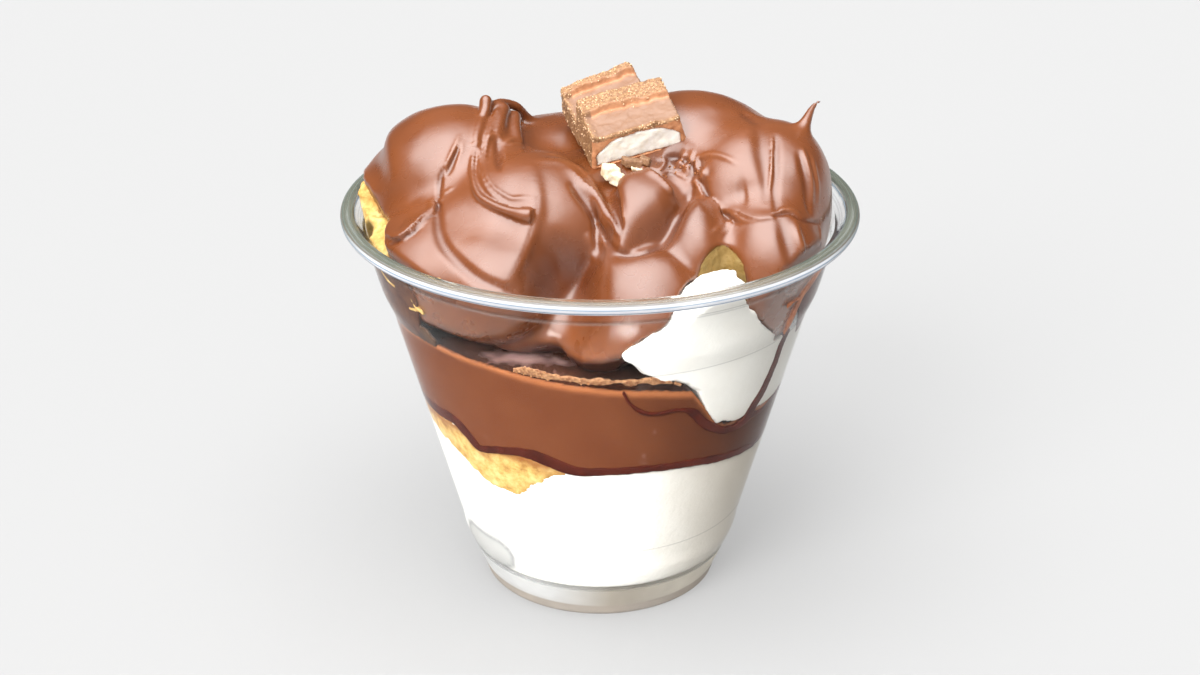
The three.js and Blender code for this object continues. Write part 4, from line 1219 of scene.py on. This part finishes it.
        (23.0, -20.0, 80.2, 0.3, 0.1), (22.5, -21.2, 79.1, 0.35, 0.5), (21.9, -22.9, 78.1, 0.3, 0.1)],
    "apexLeft": [
        (20.7, -22.2, 78.9, 0.25, 0.1), (20.1, -23.3, 78.6, 0.35, 0.5), (19.4, -24.4, 78.5, 0.25, 0.1)],
    "topWave": [
        (25.8, 2.5, 91.4, 0.8, -0.1), (26.6, 0.9, 91.2, 1, -0.5), (27.5, -1.9, 91.0, 0.9, -0.2)],
    "tongueFoot": [
        (16.3, -12.6, 82.6, 0.5, -0.4), (15.6, -14.7, 80.8, 0.7, -0.8), (14.0, -19.9, 80.0, 0.7, -0.8),
        (12.0, -23.0, 77.9, 0.7, -0.7), (10.1, -25.2, 76.2, 0.7, -0.6), (7.5, -27.3, 75.4, 0.7, -0.5),
        (4.7, -27.3, 75.4, 0.7, -0.5), (2.5, -26.4, 76.1, 0.6, -0.4), (1.1, -23.0, 76.6, 0.5, -0.2)],
    "knobLeft": [
        (-29.8, -14.6, 80.2, 0.5, 0.3), (-29.2, -15.8, 80.1, 0.6, 0.9), (-29.3, -17.7, 79.7, 0.5, 0.4)],
    "knobHole": [
        (-28.8, -14.6, 80.6, 0.3, -0.5), (-28.3, -16.3, 80.3, 0.4, -1.2), (-28.4, -17.8, 79.9, 0.3, -0.5)],
    "crackShort": [
        (-27.9, -13.6, 81.3, 0.2, 0), (-26.9, -13.3, 81.9, 0.25, 0.35), (-25.5, -13.2, 82.7, 0.2, 0)],
    "splitRight": [
        (17.7, -13.2, 83.6, 0.3, -0.4), (18.3, -14.7, 82.7, 0.4, -1.1), (19.0, -16.0, 81.9, 0.3, -0.4)],
}
strokePaths = [smoothPath(rows, 3 * len(rows)) for rows in strokes.values()]

# Where one part of the coat laps over the next: a point, its width to the left of the way it runs, its width
# to the right, and its rise
laps = {
    "vArm": [
        (-5.9, -10.9, 85.7, 0.8, 1.6, 0.2), (-4.1, -12.3, 84.8, 0.6, 1.6, 0.8),
        (-2.0, -14.2, 83.1, 0.5, 1.5, 1.2), (-0.3, -15.5, 81.3, 0.5, 1.4, 1.3),
        (1.7, -19.8, 80.0, 0.5, 1.3, 1.1), (3.0, -24.2, 79.3, 0.5, 1, 0.7),
        (3.7, -25.9, 78.7, 0.4, 0.6, 0.1)],
    "underLeft": [
        (-38.8, -15.1, 76.0, 2, 0.5, 0.2), (-36.7, -20.8, 76.4, 2.4, 0.4, 0.8),
        (-34.5, -23.0, 76.8, 2.8, 0.4, 1.2), (-32.8, -22.7, 77.6, 2.8, 0.4, 1.3),
        (-31.3, -21.0, 78.6, 2.6, 0.4, 1.1), (-29.9, -18.7, 79.4, 2.2, 0.4, 0.8),
        (-28.6, -16.7, 80.1, 1.5, 0.4, 0.3)],
    "rightUpper": [
        (21.4, -18.4, 80.6, 1, 0.4, 0.2), (23.2, -20.2, 80.1, 1.6, 0.4, 0.6),
        (25.2, -22.1, 80.1, 2, 0.4, 0.6), (27.6, -23.4, 80.5, 2, 0.4, 0.5),
        (29.7, -23.2, 80.8, 1.6, 0.4, 0.3)],
    "tongueTop": [
        (7.2, -8.6, 85.4, 0.3, 0.8, 0.2), (8.9, -13.4, 85.7, 0.35, 1, 0.7),
        (10.6, -14.9, 85.0, 0.35, 1, 0.8), (12.1, -16.4, 84.1, 0.35, 0.9, 0.6),
        (13.3, -17.1, 83.2, 0.3, 0.7, 0.2)],
    "bankTop": [
        (17.7, -13.7, 83.0, 0.5, 1.5, 0.2), (18.7, -15.9, 81.6, 0.5, 1.8, 0.5),
        (20.3, -18.0, 80.6, 0.5, 1.8, 0.6), (21.3, -20.4, 79.3, 0.6, 1.5, 0.5),
        (21.2, -23.1, 78.1, 0.6, 1.2, 0.2)],
    "centreEdge": [
        (-11.8, -13.6, 86.4, 1, 2.2, 0.1), (-11.0, -18.6, 84.2, 1.2, 2.6, 0.5),
        (-11.0, -22.0, 81.4, 1.2, 2.8, 0.8), (-12.0, -24.9, 78.3, 1.2, 2.6, 0.8),
        (-13.4, -29.5, 76.0, 1.2, 2.4, 0.7), (-15.5, -33.5, 73.6, 1, 2, 0.3)],
}
lapPaths = [smoothPath(rows, 3 * len(rows)) for rows in laps.values()]


def nearLap(p, path):
    # as nearPath, with the side that each point lies on, seen from outside the heap: above zero is left
    beyond = 2.4 * path[:, 3:5].max()
    low, high = path[:, :3].min(0) - beyond, path[:, :3].max(0) + beyond
    near = np.nonzero(((p > low) & (p < high)).all(1))[0]
    q = p[near]
    best, side, extra = np.full(len(q), 1e3), np.zeros(len(q)), np.tile(path[0, 3:], (len(q), 1))
    for a, b in zip(path[:-1], path[1:]):
        ab = b[:3] - a[:3]
        t = np.clip((q - a[:3]) @ ab / max(ab @ ab, 1e-9), 0, 1)
        off = q - a[:3] - t[:, None] * ab
        d = np.linalg.norm(off, axis=1)
        closer = d < best
        left = np.cross(a[:3] - np.array([0, 0, 58]), ab)
        best[closer] = d[closer]
        side[closer] = (off @ left)[closer]
        extra[closer] = (a[3:] + (b[3:] - a[3:]) * t[:, None])[closer]
    return near, best, side, extra


def strokeRelief(p):
    # how far the strokes lift the coat, and the painted highlight (above zero) on their ridges or painted
    # shade (below zero) in their grooves
    lift, paintedLightAndShade = np.zeros(len(p)), np.zeros(len(p))
    for path in strokePaths:
        near, away, extra = nearPath(p, path, 2.6 * path[:, 3].max())
        share = np.exp(-(away / np.maximum(extra[:, 0], 0.1)) ** 2) * extra[:, 1]
        lift[near] += share
        paintedLightAndShade[near] += share * np.clip(0.5 / np.maximum(extra[:, 0], 0.1), 0, 1.4)
    for path in lapPaths:
        near, away, side, extra = nearLap(p, path)
        width = np.maximum(np.where(side > 0, extra[:, 0], extra[:, 1]), 0.1)
        lift[near] += np.exp(-(away / width) ** 2) * extra[:, 2]
    return lift, paintedLightAndShade


def aboveLowerEdge(p):
    angle = angleOf(p)
    angle = np.where(angle > 145, angle - 360, angle)
    edge = np.interp(angle, *np.array(heap["lowerEdge"], float).T)
    return edge - heap["undercut"] * np.clip(innerRadius(p[:, 2]) - radiusOf(p), 0, 20) - p[:, 2]


def crumbledPart(p):
    total = np.zeros(len(p))
    for at, reach, height in heap["broken"]:
        total += height * np.exp(-((p - np.array(at)) ** 2).sum(1) / reach ** 2)
    return total


def coatField(p):
    d = moundField(p)
    for path, blend in cordPaths:
        d = addCord(d, p, path, blend)
    crumbled = crumbledPart(p) * (0.3 - np.abs(grain(p, 3.2, 45, 2)))
    d = d - strokeRelief(p)[0] - 0.12 * grain(p, 6, 41, 2) - crumbled
    d = softMax(d, -clearOfBareStrip(p) + 0.25 * grain(p, 3, 43, 3), 0.4)
    d = softMax(d, -toEllipsoid(p, *heap["notch"]), 1.2)
    d = softMax(d, 0.1 - spillField(p, False), 0.3)
    d = softMax(d, inCup(p, -heap["wallGap"]), 1)
    d = softMax(d, 0.7 * aboveLowerEdge(p), 1.2)
    return softMax(d, aboveHazelnut(p), 0.5)


def makeHeap():
    coat = fieldPiece("chocolateCoat", coatField, *heap["grid"], finishes["coat"], heap["focus"])
    p = cornersOf(coat)
    paintedLightAndShade = strokeRelief(p)[1]
    # painted shade in the sunken cracks of the crumbled patches
    paintedLightAndShade -= crumbledPart(p) * (0.1 + np.abs(grain(p, 3.2, 45, 2)))
    # painted shade in the hollows
    for at, radii, _ in heap["hollows"]:
        paintedLightAndShade -= 0.3 * np.clip(1 - toEllipsoid(p, at, radii), 0, 1)
    # painted shade spots
    for at, reach, share in heap["thick"]:
        paintedLightAndShade -= share * np.exp(-((p - np.array(at)) ** 2).sum(1) / reach ** 2)
    # painted shade along the coat's lower edge at the wall, where it meets the hazelnut cream
    paintedLightAndShade -= 1.1 * np.clip(0.9 + aboveLowerEdge(p) / 1.5, 0, 1)
    pointValues(coat, "paintedLightAndShade", np.clip(paintedLightAndShade, -1.1, 1))
    pointValues(coat, "loose", np.clip(crumbledPart(p) - 0.25, 0, 1))
    addPiece(coat, "poured_chocolate", "chocolate_coat")
    addGrains("coatFlakes", coat, "loose", *heap["flakes"], "flakes", "poured_chocolate")
    cream = fieldPiece("whippedCream", spillField, *spill["grid"], finishes["cream"])
    addPiece(cream, "white_cream", "whipped_cream")
    left = fieldPiece("chouxLeft", leftBunField, *buns["leftGrid"], finishes["choux"])
    addPiece(left, "baked_choux", "choux_left")
    p = cornersOf(left)
    shade = np.clip((71 - p[:, 2]) / 4, 0, 1)
    shade = np.maximum(shade, np.clip(1.2 - toEllipsoid(p, *buns["leftBite"]), 0, 1))
    pointValues(left, "shade", shade)
    stain = np.clip(0.5 - 0.5 * np.abs(clearOfBareStrip(p) - 0.5), 0, 0.5)
    pointValues(left, "stain", stain * (p[:, 1] < -4))
    right = fieldPiece("chouxRight", rightBunField, *buns["rightGrid"], finishes["choux"])
    addPiece(right, "baked_choux", "choux_right")
    pointValues(right, "shade", np.full(len(right.data.vertices), 1.0))


makeHeap()
print("heap made")


# What clings to the inside of the wall: thin smears and lines, each row an angle, a height and a half width

wallMarks = {
    "sauceLine": {"finish": "sauce", "slot": "poured_chocolate", "reach": 0.45, "ragged": 0.16, "lines": [[
        (-190, 39.4, 0.9), (-165, 40.3, 1), (-149, 41, 1.1), (-140, 41.2, 1.2), (-134, 38.5, 1.1),
        (-131, 37, 0.8), (-125, 37.9, 0.85), (-118, 38.8, 0.9), (-112, 39, 1.1), (-106, 38.1, 1.25),
        (-101, 36.9, 1.3), (-96, 36.2, 1.0), (-84, 36.4, 0.85), (-70, 36.2, 0.8), (-58, 35.6, 0.85),
        (-46, 34.3, 0.85), (-31, 32.9, 0.7), (-27, 32.3, 0.55), (-10, 32.2, 0.4), (0, 33.2, 0.5),
        (45, 35.3, 0.5), (90, 37.3, 0.6), (135, 38.5, 0.6), (170, 39.4, 0.7)]]},
    "sauceCurve": {"finish": "sauce", "slot": "poured_chocolate", "reach": 0.5, "ragged": 0.12, "lines": [[
        (-83.8, 54.1, 0.2), (-82.6, 52.4, 0.28), (-80.9, 51, 0.36), (-78.8, 49.8, 0.45), (-76.4, 49.1, 0.5),
        (-72.9, 48.9, 0.45), (-69.4, 49.1, 0.4), (-65.7, 48.7, 0.55), (-62.9, 47.6, 0.9),
        (-60.5, 45.9, 0.95), (-57, 43.8, 0.95), (-53.4, 42.4, 0.9), (-49.7, 41.2, 0.8),
        (-45.5, 40.8, 0.75), (-41.2, 41, 0.9), (-36.8, 41.4, 0.7), (-31, 41, 0.5), (-24, 41.6, 0.5),
        (-12, 42.4, 0.4)],
        [(-31.6, 58, 0.95), (-32.2, 55.4, 1.05), (-32.3, 52.8, 1.05), (-32.8, 50.4, 1.1), (-33.7, 48, 1.15),
         (-34.9, 46, 1.2), (-37.2, 44.2, 1.25), (-38.6, 42.6, 1.3), (-40, 41.4, 1.2)]]},
    "wallPatch": {"finish": "patch", "slot": "poured_chocolate", "reach": 0.3, "ragged": 0.14, "areas": [[
        (-20, 69.6), (-23, 68.1), (-27.3, 67), (-31, 65.6), (-32.2, 64.1), (-33, 62.1), (-33.2, 59.3),
        (-33.5, 57.2), (-31, 56.2), (-26, 55.4), (-21, 55.2), (-15, 56), (-12, 58), (-11, 62), (-12, 67),
        (-15, 70)]]},
    "wallStreak": {"finish": "streak", "slot": "poured_chocolate", "reach": 0.45, "ragged": 0.16, "lines": [[
        (-20, 68.9, 0.4), (-23, 68.1, 0.6), (-27.3, 67, 0.75), (-31, 65.6, 0.65), (-32.2, 64.1, 0.75),
        (-33, 62.1, 0.75), (-33.2, 59.3, 0.6), (-34.2, 57.5, 0.35)],
        [(-32.5, 65.4, 0.3), (-36, 65.4, 0.35), (-38.4, 64.8, 0.2)]]},
    "foam": {"finish": "foam", "slot": "hazelnut_cream", "reach": 0.2, "ragged": 0.5,
             "bubbles": (0.5, (0.1, 0.34), 7), "areas": [[
        (-113, 58), (-111.1, 58.6), (-108.9, 59.1), (-106.4, 58.5), (-103.9, 58), (-100.1, 57.5),
        (-95, 57.3), (-89.9, 57.4), (-84.8, 57.1), (-79.6, 57), (-75.7, 56.9), (-71.5, 56),
        (-66.5, 54.3), (-66.5, 53.6), (-71, 54.8), (-75.4, 55.7), (-79.4, 55.7), (-84.7, 56),
        (-89.9, 56.3), (-95, 56.5), (-100.2, 56.7), (-104.1, 56.9), (-108.1, 57.3), (-111.5, 57.3)]]},
    # a dark smear on the wall, which also stands in as painted shade for the shaded gap and bun underside
    # behind it
    "smearAndShadeLeft": {"finish": "smear", "slot": "poured_chocolate", "reach": 0.2, "ragged": 0.35, "areas": [[
        (-165, 57.8), (-152, 57.5), (-145, 58.6), (-140, 60.5), (-140, 64), (-140, 67), (-142, 71),
        (-150, 72.4), (-156, 71), (-160, 68.5), (-176, 68), (-178, 58)]]},
    # a dark film on the wall, which also stands in as painted shade for the shaded gap between wall and coat
    # behind it
    "hazeAndShadeLeft": {"finish": "haze", "slot": "hazelnut_cream", "reach": 0.16, "ragged": 0.3, "areas": [[
        (-190, 56), (-150, 55.8), (-138, 57), (-135, 58.2), (-139, 60.6), (-144, 62), (-149, 64.6),
        (-160, 66), (-175, 66.5), (-190, 66)]]},
    "chouxBits": {"finish": "choux", "slot": "baked_choux", "reach": 0.3, "ragged": 0.06, "lines": [
        [(-155.5, 68.6, 0.3), (-153, 67.6, 0.42), (-149, 67.4, 0.3)],
        [(-141.6, 66.9, 0.12), (-140.9, 65.6, 0.2), (-139.5, 65, 0.34)],
        [(-143.8, 64.3, 0.3), (-141.4, 64.7, 0.34), (-139.5, 65, 0.3), (-138.2, 64.4, 0.1)],
        [(-129.4, 73.9, 0.2), (-128, 73.4, 0.3)], [(-126, 72.9, 0.18), (-124.6, 72.6, 0.26)]]},
}


markStep = 0.3
markDepth = 0.5  # how far a mark stands in from the wall


def makeWallMark(name, mark):
    lines = [smoothPath(unrolled(rows), 4 * len(rows)) for rows in mark.get("lines", [])]
    areas = [unrolled(rows)[:, :2] for rows in mark.get("areas", [])]

    def field(p):
        q = onWall(p)
        d = np.full(len(p), 1e3)
        for line in lines:
            near, away, width = nearPath(q, line, 6.0)
            d[near] = np.minimum(d[near], away - width[:, 0])
        for area in areas:
            d = np.minimum(d, toArea(q[:, :2], area))
        d = d + mark["ragged"] * grain(p, 1.6, 61, 3)
        through = radiusOf(p) - innerRadius(p[:, 2])
        layer = np.abs(through - (mark["reach"] - markDepth) / 2) - (mark["reach"] + markDepth) / 2
        return softMax(d, layer, 0.15)
    rows = np.vstack([np.array(r, float)[:, :2] for r in mark.get("lines", []) + mark.get("areas", [])])
    angles = np.radians(np.linspace(rows[:, 0].min(), rows[:, 0].max(), 60))
    top = rows[:, 1].max() + 2.5
    reach = innerRadius(top) + 1
    low = (np.cos(angles).min() * reach - 2, np.sin(angles).min() * reach - 2, rows[:, 1].min() - 2.5)
    high = (np.cos(angles).max() * reach + 2, np.sin(angles).max() * reach + 2, top)
    piece = fieldPiece(name, field, low, high, markStep, finishes[mark["finish"]], whole=False)
    addPiece(piece, mark["slot"])
    if "bubbles" in mark:
        pointValues(piece, "bubbly", np.full(len(piece.data.vertices), 1.0))
        addGrains(name + "Bubbles", piece, "bubbly", *mark["bubbles"], "bubbles", mark["slot"])


for name, mark in wallMarks.items():
    makeWallMark(name, mark)
print("wall marks made")


# Crumbs that broke off the bar: centre, half sizes, turn

crumbs = {
    "crumbWhite": ("crumbs", "bar_filling", [((1.9, -11.7, 84.9), (1.5, 1.2, 1.3), 25),
                                              ((3.0, -12.3, 83.8), (1.3, 1.0, 1.2), -20)]),
    "crumbBrown": ("bar", "bar_chocolate", [((5.7, -9.2, 85.7), (1.7, 1.0, 0.8), 20),
                                            ((8.0, -8.6, 85.9), (0.9, 0.9, 0.7), -15)]),
    "crumbFlakes": ("crumbs", "bar_filling", [((7.0, -10.4, 84.8), (1.5, 0.3, 0.32), 12),
                                               ((5.0, -10.9, 84.4), (0.8, 0.3, 0.3), 40)]),
    "crumbSpeck": ("crumbs", "bar_filling", [((4.3, -12.9, 82.9), (0.45, 0.35, 0.35), 0)]),
}


def crumbField(p, lumps):
    d = np.full(len(p), 1e3)
    for at, half, turn in lumps:
        c, s = math.cos(math.radians(turn)), math.sin(math.radians(turn))
        q = p - np.array(at)
        q = np.stack([c * q[:, 0] + s * q[:, 1], c * q[:, 1] - s * q[:, 0], q[:, 2] + 0.25 * q[:, 0]], 1)
        d = softMin(d, roundBox(q, np.array(half), 0.4 * min(half)), 0.3)
    return d + 0.13 * grain(p, 1.1, 71, 3)


crumbStep = 0.16


def makeCrumbs():
    for name, (finish, slot, lumps) in crumbs.items():
        middles = np.array([at for at, half, turn in lumps])
        reach = max(max(half) for at, half, turn in lumps) + 1.2

        def field(p):
            return crumbField(p, lumps)
        low, high = middles.min(0) - reach, middles.max(0) + reach
        piece = fieldPiece(name, field, low, high, crumbStep, finishes[finish])
        if finish == "bar":
            pointValues(piece, "crumbly", np.full(len(piece.data.vertices), 0.5))
        addPiece(piece, slot)


# The two segments of filled bar

# centre, half sizes, the ways that its width and its depth run, and the width of its crumbly ridge
frontBar = {"at": (5.2, -3.2, 91.2), "half": (9, 5.6, 4.1), "wide": (17.2, 4, 3.6),
            "deep": (-3.65, 12, 4.1), "ridge": 4.5}
rearBar = {"at": (1.2, 6.3, 91.65), "half": (7.9, 5.2, 3.4), "wide": (11.2, 2.5, 3.8),
           "deep": (-1.5, 9, 3.4), "ridge": 2.5}
barShape = {
    "taper": 1.1,
    "recess": 1.4,
    "shell": 2.3,
    "sides": 1.1,
    "under": 0.7,
    "crumble": 0.1,
    "step": 0.25,
    "grains": (2.4, (0.1, 0.26), 5),  # how dense, half widths, seed
}


def barAxes(bar):
    u = np.array(bar["wide"], float)
    u /= np.linalg.norm(u)
    w = np.cross(u, bar["deep"])
    w /= np.linalg.norm(w)
    return np.stack([u, np.cross(w, u), w], 1)


def roundBox(q, half, corner):
    s = np.abs(q) - half + corner
    return np.linalg.norm(np.maximum(s, 0), axis=1) + np.minimum(s.max(1), 0) - corner


def arch(q, bar):
    # the filling: flat below, arched above, from the cut to the shell behind
    wide, deep, high = bar["half"]
    u = np.abs(q[:, 0]) / (wide - barShape["sides"])
    top = high - barShape["shell"] - 3.0 * u ** 3.2 + 0.3 * grain(q[:, [0, 0, 0]], 4, 62, 1)
    low = -high + barShape["under"]
    d = np.maximum(q[:, 2] - top, low - q[:, 2]) * 0.8
    d = np.maximum(d, np.abs(q[:, 0]) - (wide - barShape["sides"]))
    return np.maximum(d, q[:, 1] - (deep - barShape["shell"]))


def ridgeStart(q, bar):
    # how far back the smooth pan ends and the crumbly ridge begins, a little uneven
    return bar["half"][1] - bar["ridge"] + 0.5 * grain(q[:, [0, 0, 0]], 3.5, 54, 2)


def barBody(q, bar, openFront):
    wide, deep, high = bar["half"]
    s = barShape
    lean = s["taper"] * (q[:, 2] + high) / (2 * high)
    squeezed = q.copy()
    squeezed[:, 0] += np.sign(q[:, 0]) * lean
    d = roundBox(squeezed, np.array([wide, deep, high]), 0.7)
    rise = np.clip((q[:, 1] - ridgeStart(q, bar)) / 0.6, 0, 1)
    rise = rise * rise * (3 - 2 * rise)
    side = np.clip((np.abs(q[:, 0]) - wide + s["taper"] + 1.3) / 1.3, 0, 1) * (q[:, 0] < 0)
    top = high - s["recess"] * (1 - rise) + 0.3 * s["recess"] * side * (1 - rise)
    top += rise * (0.35 * grain(q, 2.4, 58, 3) - 0.25)
    if openFront:
        lip = np.clip(1.4 - (q[:, 1] + deep) / 0.5, 0, 1)
        top += 0.45 * lip * (0.5 + grain(q[:, [0, 0, 0]], 1.6, 60, 3))
    return softMax(d, (q[:, 2] - top) * 0.8, 0.35)


def barLocal(p, bar):
    return (p - np.array(bar["at"], float)) @ barAxes(bar)


def frontBarField(p):
    q = barLocal(p, frontBar)
    d = barBody(q, frontBar, True) + barShape["crumble"] * grain(p, 1.1, 51, 3)
    front = q[:, 1] + frontBar["half"][1]
    return np.maximum(d, -arch(q, frontBar) * (front < 3) - 9 * (front >= 3))


def rearBarField(p):
    return barBody(barLocal(p, rearBar), rearBar, False) + barShape["crumble"] * grain(p, 1.1, 53, 3)


def fillingField(p):
    q = barLocal(p, frontBar)
    d = arch(q, frontBar) + 0.08 * grain(p, 0.9, 57, 3)
    return softMax(d, -q[:, 1] - frontBar["half"][1] - 0.12 * grain(p, 1.6, 59, 2) + 0.15, 0.5)


def dressBar(piece, bar, isCut):
    # where the chocolate is smooth, crumbly, cut through and strewn with grains, and the painted shade along
    # the step below the ridge
    q = barLocal(cornersOf(piece), bar)
    wide, deep, high = bar["half"]
    onTop = q[:, 2] > high - 2
    pan = np.minimum(wide - 1.5 + q[:, 0], deep - bar["ridge"] - q[:, 1])
    pan = np.clip(0.5 + (pan + 0.5 * grain(q, 1.5, 55, 2)) / 0.9, 0, 1) * onTop
    edge = q[:, 2] > high - barShape["recess"] - 0.5 + 0.2 * grain(q, 1.0, 56, 2)
    cut = np.where((q[:, 1] < 0.5 - deep) & ~edge & isCut, 1.0, 0.0)
    brim = np.clip(2.2 - (q[:, 1] + deep) / 0.4, 0, 1) * edge * isCut
    # painted shade along the step where the pan rises to the ridge; it goes into the cut attribute below,
    # which darkens it to the shell colour
    stepShade = np.exp(-((q[:, 1] - ridgeStart(q, bar) - 0.1) / 0.5) ** 2) * onTop * (q[:, 0] > 2.5 - wide)
    pointValues(piece, "crumbly", np.where(cut > 0, 0.2, np.clip(1 - pan + brim - 0.8 * stepShade, 0, 1)))
    pointValues(piece, "cut", np.clip(cut + 0.75 * stepShade, 0, 1))
    strewn = np.clip(1 - pan + brim - stepShade, 0, 1) * (1 - cut) * (0.15 + 0.85 * (q[:, 2] > high - 1.9))
    pointValues(piece, "strewn", strewn)


def makeBars():
    for name, field, bar, node in (("barFront", frontBarField, frontBar, "bar_front"),
                                   ("barRear", rearBarField, rearBar, "bar_rear"),
                                   ("barFilling", fillingField, frontBar, "bar_filling")):
        at, reach = np.array(bar["at"]), np.linalg.norm(bar["half"]) + 0.8
        isFilling = name == "barFilling"
        finish = finishes["filling" if isFilling else "bar"]
        piece = fieldPiece(name, field, at - reach, at + reach, barShape["step"], finish)
        if isFilling:
            addPiece(piece, "bar_filling", node)
        else:
            dressBar(piece, bar, bar is frontBar)
            addPiece(piece, "bar_chocolate", node)
            addGrains(name + "Grains", piece, "strewn", *barShape["grains"], "grains", "bar_chocolate")


makeBars()
makeCrumbs()
print("bars and crumbs made")


# Floor, light and camera

studio = {
    "floor": {"tone": 0.2, "glow": 0.335},
    "low": 0.1,  # light from the horizon all round
    "front": {"light": 0.38, "towards": (0, -1, 0.15), "from": -0.1, "to": 0.8},
    "ceiling": {"light": 6.2, "towards": (-0.08, -0.16, 0.98), "from": 0.63, "to": 1.0},
    "sun": {"round": 33, "up": 32, "strength": 2.9, "spread": 30},  # degrees left of the front, and above
}
shot = {
    "distance": 400,  # mm from the point looked at
    "down": 24.91,  # degrees
    "lookAt": (0, 0, 47.3),
    "focal": 63.54,
    "sensor": 36,
}


def makeFloor():
    mesh = bpy.data.meshes.new("floor")
    mesh.from_pydata([(-9, -9, 0), (9, -9, 0), (9, 9, 0), (-9, 9, 0)], [], [(0, 1, 2, 3)])
    f = Finish("floor")
    tone, glow = studio["floor"]["tone"], studio["floor"]["glow"]
    f.look(Base_Color=(tone, tone, tone, 1), Roughness=0.9)
    f.look(Emission_Color=(1, 1, 1, 1), Emission_Strength=glow)
    f.shader.inputs["Specular IOR Level"].default_value = 0.1
    mesh.materials.append(f.material)
    floor = bpy.data.objects.new("floor", mesh)
    bpy.context.scene.collection.objects.link(floor)


def makeSun():
    sun = studio["sun"]
    lamp = bpy.data.lights.new("sun", "SUN")
    lamp.energy = sun["strength"]
    lamp.angle = math.radians(sun["spread"])
    holder = bpy.data.objects.new("sun", lamp)
    turn, up = math.radians(sun["round"]), math.radians(sun["up"])
    towards = Vector((-math.sin(turn) * math.cos(up), -math.cos(turn) * math.cos(up), math.sin(up)))
    holder.rotation_euler = towards.to_track_quat("Z", "Y").to_euler()
    holder.visible_glossy = False
    bpy.context.scene.collection.objects.link(holder)


def makeWorld():
    # pale light all round, brighter in front and brightest overhead, like a white ceiling
    world = bpy.data.worlds.new("studio")
    world.use_nodes = True
    tree = world.node_tree
    place = tree.nodes.new("ShaderNodeTexCoord").outputs["Generated"]

    def share(glow):
        lean = tree.nodes.new("ShaderNodeVectorMath")
        lean.operation = "DOT_PRODUCT"
        lean.inputs[1].default_value = Vector(glow["towards"]).normalized()
        level = tree.nodes.new("ShaderNodeMapRange")
        level.interpolation_type = "SMOOTHSTEP"
        level.inputs["From Min"].default_value = glow["from"]
        level.inputs["From Max"].default_value = glow["to"]
        level.inputs["To Max"].default_value = glow["light"]
        tree.links.new(place, lean.inputs[0])
        tree.links.new(lean.outputs["Value"], level.inputs["Value"])
        return level.outputs["Result"]
    total = tree.nodes.new("ShaderNodeMath")
    tree.links.new(share(studio["front"]), total.inputs[0])
    tree.links.new(share(studio["ceiling"]), total.inputs[1])
    both = tree.nodes.new("ShaderNodeMath")
    both.inputs[1].default_value = studio["low"]
    tree.links.new(total.outputs[0], both.inputs[0])
    tree.links.new(both.outputs[0], tree.nodes["Background"].inputs["Strength"])
    tree.nodes["Background"].inputs["Color"].default_value = (1, 1, 1, 1)
    bpy.context.scene.world = world


def makeCamera():
    lens = bpy.data.cameras.new("camera")
    lens.sensor_width = shot["sensor"]
    lens.lens = shot["focal"]
    lens.clip_start = 0.01
    holder = bpy.data.objects.new("camera", lens)
    down = math.radians(shot["down"])
    x, y, z = shot["lookAt"]
    holder.location = (x * mm, (y - shot["distance"] * math.cos(down)) * mm,
                       (z + shot["distance"] * math.sin(down)) * mm)
    holder.rotation_euler = (math.pi / 2 - down, 0, 0)
    bpy.context.scene.collection.objects.link(holder)
    bpy.context.scene.camera = holder


makeFloor()
makeWorld()
makeSun()
makeCamera()
bpy.context.scene.view_settings.view_transform = "Standard"
print("studio made")
